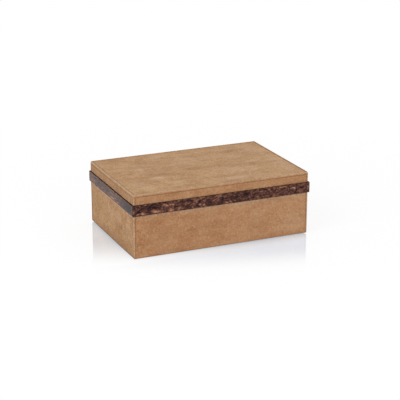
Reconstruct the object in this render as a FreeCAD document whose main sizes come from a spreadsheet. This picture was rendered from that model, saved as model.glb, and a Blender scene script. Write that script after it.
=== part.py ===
# Suede decorative box: a hinged keepsake box of board, covered in suede, with a horn band round the lid.
#
# Millimetres. X runs along the front, the front faces -Y, Z is up, and the origin is the middle of the
# underside. The base and the lid are each a board carcase in a suede skin. Every wall, skin, lining and band
# strip is mitred at the corners, so each closed ring is built once and then parted into its four sides.
# The lid turns on two small brass butt hinges let into the back, and stops where its projecting band lands
# on the back of the base.
import FreeCAD, Part
import math
import os
import re

SIZES = {
    # The box over its suede, without the band
    "box_length": 300.0,
    "box_depth": 197.0,
    "box_height": 104.5,
    "base_height": 70.8,  # from the table to the rim of the base
    "lid_gap": 0.3,  # between the two rims when shut
    # Board carcase
    "wall_thickness": 6.0,
    "top_board_thickness": 6.0,
    "bottom_board_thickness": 5.0,
    # Suede skin
    "suede_thickness": 1.2,
    "corner_radius": 2.0,  # upright corners
    "rim_radius": 1.2,  # where the skin turns over a rim or under the base
    "lid_edge_bevel": 0.6,  # pressed, sewn edge round the top panel
    # Horn band, flush with the lid's rim
    "band_height": 17.4,
    "band_thickness": 2.24,
    "band_edge_radius": 0.5,
    # Felt under the base
    "felt_thickness": 0.8,
    "felt_inset": 5.0,
    "felt_corner_radius": 4.0,
    # Lining
    "lining_thickness": 1.0,
    "lining_step": 0.8,  # the lining stops this far short of the rim
    "floor_pad_thickness": 2.0,
    "ceiling_pad_thickness": 2.0,
    "pad_clearance": 0.2,
    "pad_edge_bevel": 0.7,
    # Butt hinges
    "hinge_length": 38.0,
    "hinge_end_distance": 41.0,  # from the end of the box to the near end of a hinge
    "barrel_radius": 1.9,
    "barrel_setback": 0.25,  # pin axis behind the suede of the back
    "barrel_clearance": 0.15,
    "knuckle_gap": 0.15,
    "leaf_inset": 1.0,  # from the leaf's inner end to the inside of the wall
    "leaf_corner_radius": 1.2,
    "leaf_seat_clearance": 0.2,
    "pin_radius": 0.8,
    "pin_seat_clearance": 0.02,
    "pin_running_clearance": 0.05,
    # Countersunk wood screws, two in each leaf
    "screw_spread": 12.0,  # from the middle of a hinge to each screw
    "screw_radius": 0.9,
    "screw_head_radius": 1.7,
    "screw_head_depth": 0.8,
    "screw_length": 7.5,
    "screw_clearance": 0.05,
    # How far a cutting tool runs past what it cuts
    "overrun": 5.0,
}

KNUCKLES = 3
BASE_KNUCKLES = (0, 2)
LID_KNUCKLES = (1,)
FILLET_LIMIT_SHARE = 0.9
MATCH = 1e-6

# Heights and places worked out from the sizes, as formulas
BASE_UNDERSIDE = "felt_thickness"
BASE_FLOOR = "(felt_thickness + bottom_board_thickness)"
BASE_BOARD_TOP = "(base_height - suede_thickness)"
LID_RIM = "(base_height + lid_gap)"
LID_BOARD_BOTTOM = f"({LID_RIM} + suede_thickness)"
LID_SKIN_TOP = "(box_height - suede_thickness)"
LID_CEILING = "(box_height - suede_thickness - top_board_thickness)"
SKIN_INSET = "suede_thickness"
WALL_INSET = "(suede_thickness + wall_thickness)"
LINING_INSET = "(suede_thickness + wall_thickness + lining_thickness)"
HINGE_X = "(box_length / 2 - hinge_end_distance - hinge_length / 2)"
PIN_Y = "(box_depth / 2 + barrel_setback)"
PIN_Z = "(base_height + lid_gap / 2)"
LEAF_REACH = "(barrel_setback + suede_thickness + wall_thickness - leaf_inset)"
SCREW_BACK = "(barrel_setback + suede_thickness + wall_thickness / 2)"
BARREL_SPACE = "(barrel_radius + barrel_clearance)"
KNUCKLE_PITCH = f"(hinge_length / {KNUCKLES})"

doc = FreeCAD.newDocument("suede_decorative_box")
sheet = doc.addObject("Spreadsheet::Sheet", "Sizes")
for row, (alias, length) in enumerate(SIZES.items(), start=1):
    sheet.set(f"A{row}", alias)
    sheet.set(f"B{row}", str(length))
    sheet.setAlias(f"B{row}", alias)
doc.recompute()

subparts = {}


def linked(formula):
    """A formula with each size in it read from the sheet."""
    return re.sub(r"[a-z]\w*", lambda word: f"Sizes.{word[0]}" if word[0] in SIZES else word[0], formula)


def bind(item, **formulas):
    """Tie properties to the sheet; a double underscore in a name stands for a dot."""
    for name, formula in formulas.items():
        item.setExpression(name.replace("__", "."), linked(formula))
    return item


def put(item, x="0", y="0", z="0"):
    """Tie the place of an object to the sheet."""
    return bind(item, Placement__Base__x=x, Placement__Base__y=y, Placement__Base__z=z)


def keep(item, label):
    """Name a finished sub-part."""
    item.Label = label
    subparts[label] = item
    return item


def new_body(name):
    return doc.addObject("PartDesign::Body", name)


def block(body, action, length, depth, bottom, top, x="0", y="0"):
    """Add to or cut from a body a block between two heights, centred on x and y."""
    box = body.newObject(f"PartDesign::{action}Box", f"{body.Name}_block")
    bind(box, Length=length, Width=depth, Height=f"({top}) - ({bottom})")
    put(box, f"({x}) - ({length}) / 2", f"({y}) - ({depth}) / 2", bottom)
    doc.recompute()
    return box


def add_inset_block(body, inset, bottom, top):
    """Add a block that lies inside the box's outline by an inset."""
    return block(body, "Additive", f"box_length - 2 * {inset}", f"box_depth - 2 * {inset}", bottom, top)


def cut_inset_block(body, inset, bottom, top):
    """Cut away the space inside the box's outline by an inset."""
    return block(body, "Subtractive", f"box_length - 2 * {inset}", f"box_depth - 2 * {inset}", bottom, top)


def dress_edges(body, dressing, picks, **sizes):
    """Fillet or chamfer the edges of a body's last feature that pass a test of their bounding box."""
    base = body.Tip
    names = [f"Edge{n}" for n, edge in enumerate(base.Shape.Edges, start=1) if picks(edge.BoundBox)]
    dressed = body.newObject(f"PartDesign::{dressing}", f"{body.Name}_{dressing}")
    dressed.Base = (base, names)
    bind(dressed, **sizes)
    doc.recompute()
    return dressed


def is_upright(box):
    return box.XLength < MATCH and box.YLength < MATCH


def is_at_height(height):
    """A test for edges that lie at one height."""
    return lambda box: box.ZMin > height - MATCH and box.ZMax < height + MATCH


def round_corners(body, radius):
    """Round the upright corners."""
    return dress_edges(body, "Fillet", is_upright, Radius=radius)


def round_top(body, radius):
    """Round the edge round the top."""
    return dress_edges(body, "Fillet", is_at_height(body.Tip.Shape.BoundBox.ZMax), Radius=radius)


def round_bottom(body, radius):
    """Round the edge round the bottom."""
    return dress_edges(body, "Fillet", is_at_height(body.Tip.Shape.BoundBox.ZMin), Radius=radius)


def bevel_top(body, width):
    """Bevel the edge round the top."""
    return dress_edges(body, "Chamfer", is_at_height(body.Tip.Shape.BoundBox.ZMax), Size=width)


def bevel_bottom(body, width):
    """Bevel the edge round the bottom."""
    return dress_edges(body, "Chamfer", is_at_height(body.Tip.Shape.BoundBox.ZMin), Size=width)


def mitre_wedge(side, span, reach, turn):
    """A prism with faces at 45 degrees through two corners of the box, which parts one side of a ring."""
    depth = f"({LINING_INSET} + overrun)"
    wedge = doc.addObject("Part::Wedge", f"mitre_{side}")
    bind(wedge, Ymin=f"-({reach}) - overrun", Ymax=f"{depth} - ({reach})")
    bind(wedge, Xmin=f"-({span}) / 2 - overrun", Xmax=f"({span}) / 2 + overrun")
    bind(wedge, X2min=f"{depth} - ({span}) / 2", X2max=f"({span}) / 2 - {depth}")
    bind(wedge, Zmin="-overrun", Z2min="-overrun", Zmax="box_height + overrun", Z2max="box_height + overrun")
    wedge.Placement = FreeCAD.Placement(FreeCAD.Vector(), FreeCAD.Rotation(FreeCAD.Vector(0, 0, 1), turn))
    return wedge


mitres = {
    "front": mitre_wedge("front", "box_length", "box_depth / 2", 0),
    "right": mitre_wedge("right", "box_depth", "box_length / 2", 90),
    "back": mitre_wedge("back", "box_length", "box_depth / 2", 180),
    "left": mitre_wedge("left", "box_depth", "box_length / 2", 270),
}
doc.recompute()


def part_into_sides(ring, label):
    """Part a closed ring into its four mitred sides; the label holds a place for the side's name."""
    for side, wedge in mitres.items():
        strip = doc.addObject("Part::Common", f"{ring.Name}_{side}")
        strip.Base = ring
        strip.Tool = wedge
        keep(strip, label.format(side=side))


def each_hinge():
    """The middle of each hinge along the back, as a formula."""
    return {"left": f"-{HINGE_X}", "right": HINGE_X}.items()


def cut_hinge_rebates(body):
    """Cut the space of each hinge barrel out of the back."""
    length = "hinge_length + 2 * leaf_seat_clearance"
    depth = f"{BARREL_SPACE} + overrun"
    for _, place in each_hinge():
        bottom = f"{PIN_Z} - {BARREL_SPACE}"
        top = f"{PIN_Z} + {BARREL_SPACE}"
        middle = f"{PIN_Y} + (overrun - {BARREL_SPACE}) / 2"
        block(body, "Subtractive", length, depth, bottom, top, place, middle)


def cut_leaf_seats(body, bottom, top):
    """Cut the seat of each hinge leaf out of the suede on a rim."""
    length = "hinge_length + 2 * leaf_seat_clearance"
    depth = f"{LEAF_REACH} + leaf_seat_clearance"
    for _, place in each_hinge():
        block(body, "Subtractive", length, depth, bottom, top, place, f"{PIN_Y} - ({depth}) / 2")


def drill(body, x, y, bottom, top, radius):
    """Drill an upright hole between two heights."""
    hole = body.newObject("PartDesign::SubtractiveCylinder", f"{body.Name}_hole")
    bind(hole, Radius=radius, Height=f"({top}) - ({bottom})")
    put(hole, x, y, bottom)
    doc.recompute()


def each_screw():
    """The place of each screw from the middle of its hinge, as a formula."""
    return ("-screw_spread", "screw_spread")


def drill_pilot_holes(body, bottom, top):
    """Drill the back wall's edge for the hinge screws."""
    for _, place in each_hinge():
        for spread in each_screw():
            x = f"({place}) + ({spread})"
            drill(body, x, f"{PIN_Y} - {SCREW_BACK}", bottom, top, "screw_radius + screw_clearance")


def make_base_boards():
    """Four mitred walls, and a bottom board set between them."""
    walls = new_body("base_walls")
    add_inset_block(walls, SKIN_INSET, f"{BASE_UNDERSIDE} + suede_thickness", BASE_BOARD_TOP)
    cut_inset_block(walls, WALL_INSET, "0", "base_height")
    cut_hinge_rebates(walls)
    hole_bottom = "base_height - screw_length - screw_clearance"
    drill_pilot_holes(walls, hole_bottom, "base_height")
    part_into_sides(walls, "base_{side}_board")
    bottom = new_body("base_bottom")
    add_inset_block(bottom, WALL_INSET, BASE_UNDERSIDE, BASE_FLOOR)
    keep(bottom, "base_bottom_board")


def make_base_skin():
    """Suede over the walls, turned in over the rim and under the foot as far as the inside of the wall."""
    skin = new_body("base_skin")
    add_inset_block(skin, "0", BASE_UNDERSIDE, "base_height")
    round_corners(skin, "corner_radius")
    round_top(skin, "rim_radius")
    round_bottom(skin, "rim_radius")
    cut_inset_block(skin, SKIN_INSET, f"{BASE_UNDERSIDE} + suede_thickness", BASE_BOARD_TOP)
    cut_inset_block(skin, WALL_INSET, "0", "base_height + overrun")
    cut_hinge_rebates(skin)
    cut_leaf_seats(skin, BASE_BOARD_TOP, "base_height + overrun")
    part_into_sides(skin, "base_{side}_suede")


def make_base_lining():
    """Lining on the four walls, a thin pad on the floor, and felt under the base."""
    walls = new_body("base_lining")
    add_inset_block(walls, WALL_INSET, BASE_FLOOR, "base_height - lining_step")
    cut_inset_block(walls, LINING_INSET, "0", "base_height")
    part_into_sides(walls, "base_{side}_lining")
    floor = new_body("floor_pad")
    full_face = f"{BASE_FLOOR} + floor_pad_thickness"
    add_inset_block(floor, f"({LINING_INSET} + pad_clearance)", BASE_FLOOR, full_face)
    bevel_top(floor, f"min(pad_edge_bevel; floor_pad_thickness * {FILLET_LIMIT_SHARE})")
    keep(floor, "base_floor_pad")
    felt = new_body("felt")
    add_inset_block(felt, "felt_inset", "0", BASE_UNDERSIDE)
    round_corners(felt, "felt_corner_radius")
    keep(felt, "base_underside_felt")


def make_lid_boards():
    """Four mitred walls under a top board that covers them."""
    walls = new_body("lid_walls")
    add_inset_block(walls, SKIN_INSET, LID_BOARD_BOTTOM, LID_CEILING)
    cut_inset_block(walls, WALL_INSET, "base_height", "box_height")
    cut_hinge_rebates(walls)
    drill_pilot_holes(walls, "base_height", f"{LID_RIM} + screw_length + screw_clearance")
    part_into_sides(walls, "lid_{side}_board")
    top = new_body("lid_top")
    add_inset_block(top, SKIN_INSET, LID_CEILING, LID_SKIN_TOP)
    keep(top, "lid_top_board")


def make_lid_skin():
    """Suede over the lid's walls, turned in over its rim, and a top panel sewn to the four sides."""
    skin = new_body("lid_skin")
    add_inset_block(skin, "0", LID_RIM, LID_SKIN_TOP)
    round_corners(skin, "corner_radius")
    cut_inset_block(skin, SKIN_INSET, LID_BOARD_BOTTOM, "box_height")
    cut_inset_block(skin, WALL_INSET, "base_height", "box_height")
    cut_hinge_rebates(skin)
    cut_leaf_seats(skin, "base_height", LID_BOARD_BOTTOM)
    part_into_sides(skin, "lid_{side}_suede")
    top = new_body("lid_panel")
    add_inset_block(top, "0", LID_SKIN_TOP, "box_height")
    round_corners(top, "corner_radius")
    bevel_top(top, f"min(lid_edge_bevel; suede_thickness * {FILLET_LIMIT_SHARE})")
    keep(top, "lid_top_suede")


def make_lid_lining():
    """Lining on the lid's walls and a thin pad on its ceiling."""
    walls = new_body("lid_lining")
    add_inset_block(walls, WALL_INSET, f"{LID_RIM} + lining_step", LID_CEILING)
    cut_inset_block(walls, LINING_INSET, "base_height", "box_height")
    part_into_sides(walls, "lid_{side}_lining")
    pad = new_body("ceiling_pad")
    underside = f"{LID_CEILING} - ceiling_pad_thickness"
    add_inset_block(pad, f"({LINING_INSET} + pad_clearance)", underside, LID_CEILING)
    bevel_bottom(pad, f"min(pad_edge_bevel; ceiling_pad_thickness * {FILLET_LIMIT_SHARE})")
    keep(pad, "lid_ceiling_pad")


def make_band():
    """Four polished horn strips round the lid, flush with its rim and notched over the hinge barrels."""
    band = new_body("band")
    top = f"{LID_RIM} + band_height"
    edge = f"min(band_edge_radius; band_thickness / 2 * {FILLET_LIMIT_SHARE})"
    add_inset_block(band, "(-band_thickness)", LID_RIM, top)
    round_corners(band, edge)
    round_top(band, edge)
    round_bottom(band, edge)
    cut_inset_block(band, "0", "base_height", "box_height")
    cut_hinge_rebates(band)
    part_into_sides(band, "band_{side}")


def make_leaf(side, place, member, plate_bottom, plate_top, other_knuckles):
    """A hinge leaf, drawn with the pin's axis as its own X axis and lifted to its place."""
    leaf = new_body(f"{side}_{member}_leaf")
    barrel = leaf.newObject("PartDesign::AdditiveCylinder", f"{leaf.Name}_barrel")
    bind(barrel, Radius="barrel_radius", Height="hinge_length")
    barrel.Placement.Rotation = FreeCAD.Rotation(FreeCAD.Vector(0, 1, 0), 90)
    put(barrel, x="-hinge_length / 2")
    doc.recompute()
    block(leaf, "Additive", "hinge_length", LEAF_REACH, plate_bottom, plate_top, "0", f"-{LEAF_REACH} / 2")
    inner_end = leaf.Tip.Shape.BoundBox.YMin
    limit = f"min(leaf_corner_radius; {LEAF_REACH} / 2)"
    dress_edges(leaf, "Fillet", lambda box: is_upright(box) and box.YMax < inner_end + MATCH, Radius=limit)
    slot_depth = f"({BARREL_SPACE} + barrel_radius + overrun)"
    for knuckle in other_knuckles:
        x = f"({knuckle} + 1 / 2) * {KNUCKLE_PITCH} - hinge_length / 2"
        y = f"{slot_depth} / 2 - {BARREL_SPACE}"
        reach = f"{BARREL_SPACE} + overrun"
        block(leaf, "Subtractive", f"{KNUCKLE_PITCH} + knuckle_gap", slot_depth, f"-({reach})", reach, x, y)
    put(leaf, place, PIN_Y, PIN_Z)
    return keep(leaf, f"hinge_{side}_{member}_leaf")


def bore_leaf(leaf, clearance):
    """Bore the knuckles for the pin."""
    bore = leaf.newObject("PartDesign::SubtractiveCylinder", f"{leaf.Name}_bore")
    bind(bore, Radius=f"pin_radius + {clearance}", Height="hinge_length + 2 * overrun")
    bore.Placement.Rotation = FreeCAD.Rotation(FreeCAD.Vector(0, 1, 0), 90)
    put(bore, x="-hinge_length / 2 - overrun")
    doc.recompute()


def countersink_leaf(leaf, face, upwards):
    """Drill and countersink a leaf from the face that shows when the lid is open."""
    wide = "screw_head_radius + screw_clearance"
    narrow = "screw_radius + screw_clearance"
    for spread in each_screw():
        drill(leaf, spread, f"-{SCREW_BACK}", "-barrel_radius", "barrel_radius", narrow)
        sink = leaf.newObject("PartDesign::SubtractiveCone", f"{leaf.Name}_sink")
        if upwards:
            bind(sink, Radius1=narrow, Radius2=wide, Height="screw_head_depth")
            put(sink, spread, f"-{SCREW_BACK}", f"{face} - screw_head_depth")
        else:
            bind(sink, Radius1=wide, Radius2=narrow, Height="screw_head_depth")
            put(sink, spread, f"-{SCREW_BACK}", face)
        doc.recompute()


def make_pin(side, place):
    """The hinge pin, held in the base leaf's knuckles."""
    pin = new_body(f"{side}_pin")
    rod = pin.newObject("PartDesign::AdditiveCylinder", f"{pin.Name}_rod")
    bind(rod, Radius="pin_radius", Height="hinge_length")
    rod.Placement.Rotation = FreeCAD.Rotation(FreeCAD.Vector(0, 1, 0), 90)
    put(rod, x="-hinge_length / 2")
    put(pin, place, PIN_Y, PIN_Z)
    keep(pin, f"hinge_{side}_pin")


def make_screw(name, x, head_height, turn):
    """A countersunk wood screw without its thread, drawn down from its head and turned to its place."""
    head = doc.addObject("Part::Cone", f"{name}_head")
    bind(head, Radius1="screw_radius", Radius2="screw_head_radius", Height="screw_head_depth")
    put(head, z="-screw_head_depth")
    shank = doc.addObject("Part::Cylinder", f"{name}_shank")
    bind(shank, Radius="screw_radius", Height="screw_length - screw_head_depth")
    put(shank, z="-screw_length")
    screw = doc.addObject("Part::MultiFuse", name)
    screw.Shapes = [head, shank]
    screw.Refine = True
    screw.Placement.Rotation = FreeCAD.Rotation(FreeCAD.Vector(1, 0, 0), turn)
    return put(screw, x, f"{PIN_Y} - {SCREW_BACK}", head_height)


def make_screws(label, head_height, turn):
    """All the hinge screws of one half of the box, as a group of separate solids."""
    screws = []
    for side, place in each_hinge():
        for number, spread in enumerate(each_screw()):
            name = f"{label}_{side}_{number}"
            screws.append(make_screw(name, f"({place}) + ({spread})", head_height, turn))
    group = doc.addObject("Part::Compound", label)
    group.Links = screws
    keep(group, label)


def make_hinges():
    """Two butt hinges: a base leaf with two knuckles, a lid leaf with one between them, a pin and screws."""
    base_plate_bottom = "-lid_gap / 2 - suede_thickness"
    lid_plate_top = "lid_gap / 2 + suede_thickness"
    for side, place in each_hinge():
        base_leaf = make_leaf(side, place, "base", base_plate_bottom, "-lid_gap / 2", LID_KNUCKLES)
        bore_leaf(base_leaf, "pin_seat_clearance")
        countersink_leaf(base_leaf, "-lid_gap / 2", upwards=True)
        lid_leaf = make_leaf(side, place, "lid", "lid_gap / 2", lid_plate_top, BASE_KNUCKLES)
        bore_leaf(lid_leaf, "pin_running_clearance")
        countersink_leaf(lid_leaf, "lid_gap / 2", upwards=False)
        make_pin(side, place)
    make_screws("base_hinge_screws", "base_height", 0)
    make_screws("lid_hinge_screws", LID_RIM, 180)


def print_opening_stop():
    """Print how far the lid opens before the band's rounded lower edge lands on the back of the base."""
    edge = sheet.get("band_edge_radius")
    setback = sheet.get("barrel_setback")
    behind = sheet.get("band_thickness") - setback - edge
    above = sheet.get("lid_gap") / 2 + edge
    landing = math.acos((edge - setback) / math.hypot(behind, above))
    print(f"the lid stops at {math.degrees(math.atan2(above, behind) + landing):.1f} degrees")


def check_and_write():
    """Stop on any failed object or broken shape, then write one file for each sub-part."""
    doc.recompute()
    failed = [item.Name for item in doc.Objects if {"Invalid", "Error"} & set(item.State)]
    if failed:
        raise RuntimeError(f"failed objects: {failed}")
    for label, item in subparts.items():
        if item.Shape.isNull() or not item.Shape.isValid():
            raise RuntimeError(f"broken shape: {label}")
    os.makedirs("parts", exist_ok=True)
    for label, item in sorted(subparts.items()):
        item.Shape.exportStep(f"parts/{label}.step")
        box = item.Shape.BoundBox
        print(f"{label}: {len(item.Shape.Solids)} solid(s), {item.Shape.Volume:.1f} mm3,"
              f" {box.XLength:.2f} x {box.YLength:.2f} x {box.ZLength:.2f}")
    print(f"{len(subparts)} sub-parts")


make_base_boards()
make_base_skin()
make_base_lining()
make_lid_boards()
make_lid_skin()
make_lid_lining()
make_band()
make_hinges()
print_opening_stop()
check_and_write()
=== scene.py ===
# %% [markdown]
# # A suede box with a horn band
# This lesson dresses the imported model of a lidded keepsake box. The boards, hinges and pins come ready made
# as solids, so the work here is the skin: sewn suede, a polished horn band, a soft lining and good light.
# Everything is placed from the solids themselves, so no piece has to be fitted by eye.

# %% Load the fixed frame
import math

import bmesh
import bpy
import numpy as np
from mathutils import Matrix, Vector


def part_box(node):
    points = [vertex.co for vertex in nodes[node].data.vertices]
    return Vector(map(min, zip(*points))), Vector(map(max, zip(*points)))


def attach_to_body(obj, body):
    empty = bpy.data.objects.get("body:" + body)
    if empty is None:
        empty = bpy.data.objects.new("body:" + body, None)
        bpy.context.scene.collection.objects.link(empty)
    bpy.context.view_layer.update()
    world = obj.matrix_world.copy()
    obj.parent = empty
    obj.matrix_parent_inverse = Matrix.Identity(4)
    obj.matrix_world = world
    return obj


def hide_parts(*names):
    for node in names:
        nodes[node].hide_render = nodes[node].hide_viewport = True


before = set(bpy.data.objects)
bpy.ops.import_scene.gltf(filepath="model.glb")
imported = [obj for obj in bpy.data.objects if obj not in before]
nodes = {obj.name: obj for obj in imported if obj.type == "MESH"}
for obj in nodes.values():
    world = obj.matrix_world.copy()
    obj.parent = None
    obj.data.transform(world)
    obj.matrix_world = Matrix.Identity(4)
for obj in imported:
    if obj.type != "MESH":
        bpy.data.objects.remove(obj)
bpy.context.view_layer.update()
scene = bpy.context.scene

# %% [markdown]
# ## The camera first
# The picture's view was worked out from the corners of the box: a long lens, a little left of the middle
# and above the lid. A long lens keeps the edges nearly parallel, as product pictures do. The camera is
# aimed with a direction, because Blender's track quaternion turns any direction into a rotation.

# %% Place the camera
LENS_MM = 114.47
SENSOR_MM = 36
CAMERA_PLACE = Vector((-0.79266, -1.81220, 0.71271))
CAMERA_TURN = -0.4141
CAMERA_DIP = 0.3245


def add_object(name, data):
    """A new object in the scene, at the origin."""
    made = bpy.data.objects.new(name, data)
    scene.collection.objects.link(made)
    return made


forward = Vector((
    -math.sin(CAMERA_TURN) * math.cos(CAMERA_DIP),
    math.cos(CAMERA_TURN) * math.cos(CAMERA_DIP),
    -math.sin(CAMERA_DIP),
))
lens = bpy.data.cameras.new("camera")
lens.lens = LENS_MM
lens.sensor_width = SENSOR_MM
camera = add_object("camera", lens)
camera.location = CAMERA_PLACE
camera.rotation_euler = forward.to_track_quat("-Z", "Y").to_euler()
scene.camera = camera
print("camera looks along", [round(part, 3) for part in forward])

# %% [markdown]
# ## Sizes from the solids
# A cover has to fit its board to a fraction of a millimetre. Copying numbers by hand would go wrong after
# the first change, so each size is read from a solid. Shapes are worked out in millimetres, which are easy
# to read, and turned into Blender's metres only when a mesh is made.

# %% Read the main sizes
TO_METRES = 0.001


def span(node):
    """Lowest and highest corner of a solid, in millimetres."""
    low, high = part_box(node)
    return np.array(low) / TO_METRES, np.array(high) / TO_METRES


def half_sizes(front, right):
    """Half the length and half the depth of a ring, from its front and right pieces."""
    return span(right)[1][0], -span(front)[0][1]


BOX = half_sizes("base_front_suede", "base_right_suede")
BAND = half_sizes("band_front", "band_right")
LEATHER = span("base_front_board")[0][1] - span("base_front_suede")[0][1]
BASE_LOW, BASE_TOP = span("base_front_suede")[0][2], span("base_front_suede")[1][2]
LID_LOW, LID_SEAM = span("lid_front_suede")[0][2], span("lid_front_suede")[1][2]
LID_TOP = span("lid_top_suede")[1][2]
BAND_LOW, BAND_TOP = span("band_front")[0][2], span("band_front")[1][2]
HEM = span("base_front_suede")[1][1] - span("base_front_suede")[0][1]
print("half box", BOX, "half band", BAND, "leather", round(LEATHER, 2), "hem", round(HEM, 2))

# %% [markdown]
# ## Meshes from grids of points
# A glued cover is a thin shell with a seen side and a hidden side. Both can be grids with the same rows and
# columns, which makes the shell easy to close: every open border gets a strip of faces. Numpy works on whole
# grids at once, so thousands of points take no longer to write than one.

# %% Turn two grids into a closed shell
MERGE_MM = 0.002
SHARP_ANGLE = math.radians(42)


def make_piece(name, points, faces, marks):
    """A mesh object at the origin. marks are numbers kept on every point, which materials can read."""
    mesh = bpy.data.meshes.new(name)
    mesh.from_pydata((points * TO_METRES).tolist(), [], faces)
    for mark, values in marks.items():
        layer = mesh.attributes.new(mark, "FLOAT", "POINT")
        layer.data.foreach_set("value", np.asarray(values, np.float32))
    work = bmesh.new()
    work.from_mesh(mesh)
    bmesh.ops.remove_doubles(work, verts=work.verts, dist=MERGE_MM * TO_METRES)
    loose = [point for point in work.verts if not point.link_faces]
    bmesh.ops.delete(work, geom=loose, context="VERTS")
    bmesh.ops.recalc_face_normals(work, faces=work.faces)
    open_edges = sum(1 for edge in work.edges if len(edge.link_faces) != 2)
    work.to_mesh(mesh)
    work.free()
    mesh.shade_smooth()
    mesh.set_sharp_from_angle(angle=SHARP_ANGLE)
    print(name, "faces", len(mesh.polygons), "open edges", open_edges)
    return add_object(name, mesh)


def close_shell(name, seen, hidden, marks, keep=None):
    """Joins a seen and a hidden grid of points. keep says which cells exist, where a shell has notches."""
    rows, columns = seen.shape[:2]
    index = np.arange(rows * columns).reshape(rows, columns)
    corners = np.stack([index[:-1, :-1], index[:-1, 1:], index[1:, 1:], index[1:, :-1]], axis=-1)
    cells = corners.reshape(-1, 4) if keep is None else corners[keep]
    walked = set()
    for start in range(4):
        walked.update(map(tuple, cells[:, [start, (start + 1) % 4]].tolist()))
    border = [(a, b) for a, b in walked if (b, a) not in walked]
    back = rows * columns
    strips = [(b, a, a + back, b + back) for a, b in sorted(border)]
    faces = cells.tolist() + (cells[:, ::-1] + back).tolist() + strips
    points = np.concatenate([seen.reshape(-1, 3), hidden.reshape(-1, 3)])
    grids = {mark: np.broadcast_to(values, (rows, columns)).ravel() for mark, values in marks.items()}
    return make_piece(name, points, faces, {mark: np.tile(values, 2) for mark, values in grids.items()})


print("points closer than", MERGE_MM, "mm are merged")

# %% [markdown]
# ## The path along a wall
# Every wall of the box is the same problem: a strip that runs straight, then bends round half of each corner
# to a mitre. Points are first given as a place along that path, a distance in from the face and a height.
# Quarter turns then put the strip on any of the four sides. At a mitre, deeper points have a shorter path.

# %% Bend a strip round the corners
SIDES = {"front": 0, "right": 1, "back": 2, "left": 3}
TINY = 1e-6
SQUEEZE_FROM_END = 35


def path_half(inset, run, corner):
    """Half the length of the path at a distance in from the face."""
    round_part = np.maximum(corner - inset, 0) * math.pi / 4
    return np.where(inset < corner, run - corner + round_part, run - inset)


def path_columns(steps, inset, run, corner):
    """The same columns on a deeper path: only the part near the ends is squeezed."""
    full = float(path_half(np.array(0.0), run, corner))
    fixed = run - SQUEEZE_FROM_END
    shorter = path_half(inset, run, corner)[:, None]
    near = np.abs(steps)[None, :]
    squeezed = fixed + (near - fixed) * (shorter - fixed) / (full - fixed)
    return np.sign(steps)[None, :] * np.where(near > fixed, squeezed, near)


def bend_points(side, steps, profile, halves, corner):
    """A grid of points on one wall: rows from a profile of insets and heights, columns from the steps."""
    turns = SIDES[side]
    inset, height = profile[:, 0], profile[:, 1]
    run, out = halves if turns % 2 == 0 else halves[::-1]
    along = path_columns(steps, inset, run, corner)
    depth = np.broadcast_to(inset[:, None], along.shape)
    radius = np.maximum(corner - depth, 0)
    straight = run - corner
    past = np.clip(np.abs(along) - straight, 0, None)
    angle = np.where(radius > TINY, past / np.maximum(radius, TINY), 0)
    on_bend = np.minimum(np.abs(along), straight) + radius * np.sin(angle)
    reach = np.where(radius > TINY, on_bend, np.abs(along))
    x = np.sign(along) * reach
    y = depth + radius * (1 - np.cos(angle)) - out
    for _ in range(turns):
        x, y = -y, x
    z = np.broadcast_to(height[:, None], along.shape)
    return np.stack([x, y, z], axis=-1)


def outward(grid):
    """Unit normals of a grid of points, from the directions of its rows and columns."""
    across = np.gradient(grid, axis=1)
    down = np.gradient(grid, axis=0)
    normal = np.cross(across, down)
    return normal / np.maximum(np.linalg.norm(normal, axis=-1, keepdims=True), TINY)


def pushed(grid, rise):
    """A grid with every point moved out of the surface by its own rise."""
    return grid + outward(grid) * rise[..., None]


print("quarter turns", SIDES)

# %% [markdown]
# ## How a sewn edge looks
# Two pieces of suede meet at each edge of the box. A line of stitches a little over 2 mm in pulls the leather
# down into a narrow channel, and the strip between stitches and edge stays proud as a soft ridge, which rubs
# pale with use. The shape could be sculpted, but it follows a rule, so small functions give the height, the
# painted shade in the channel and the pale of the ridge at any distance from an edge. That pale is partly
# wear and partly a painted highlight. The channel is deeper at each stitch: that is the pucker.

# %% Describe the relief beside a seam
WAVES = 9
SHORTEST_WAVE = 0.35
WAVE_SEEDS = {"base": 11, "lid": 21, "top": 5, "band": 31, "lining": 51, "pad": 61, "felt": 71}
STITCH_INSET = 2.3
STITCH_PITCH = 3.2
RIDGE_RISE = 0.55
RIDGE_LEAN_SHARE = 0.62
CHANNEL_DEPTH = 0.36
CHANNEL_WIDTH = 0.42
SEAM_SHADE_WIDTH = 0.9
JOIN_DEPTH = 0.18
JOIN_WIDTH = 0.22
PUCKER_SHARE = 0.35
WELT_ROUNDNESS = 1.6
EVEN_SEAM_SHADE = 0.5
NEAR_STEPS = [0, 0.1, 0.22, 0.38, 0.58, 0.82, 1.08, 1.34, 1.58, 1.8, 1.98, 2.14, 2.3, 2.46, 2.62, 2.8,
              3.02, 3.3, 3.7, 4.3, 5.1]


def seam_relief(away, along, welt=0.0):
    """Rise of the suede, and the painted shade in its channel, at a distance from its edge.
    welt 1 carries the ridge over a corner.
    """
    beat = np.cos(2 * math.pi * along / STITCH_PITCH)
    pull = 1 + PUCKER_SHARE * beat
    share = np.clip(away / STITCH_INSET, 0, 1)
    leaning = np.sin(math.pi * share ** RIDGE_LEAN_SHARE)
    over_corner = np.cos(math.pi / 2 * share ** WELT_ROUNDNESS)
    swell = (1 - welt) * leaning + welt * over_corner
    past = away - STITCH_INSET
    channel = np.exp(-((past / CHANNEL_WIDTH) ** 2))
    join = np.exp(-((away / JOIN_WIDTH) ** 2))
    rise = RIDGE_RISE * swell * (2 - pull) - CHANNEL_DEPTH * channel * pull - JOIN_DEPTH * join
    # painted shade: the colour darkens in the stitch channel, most at each stitch
    painted_shade = np.exp(-((past / SEAM_SHADE_WIDTH) ** 2)) * (EVEN_SEAM_SHADE + (1 - EVEN_SEAM_SHADE) * beat)
    return rise, painted_shade


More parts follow.
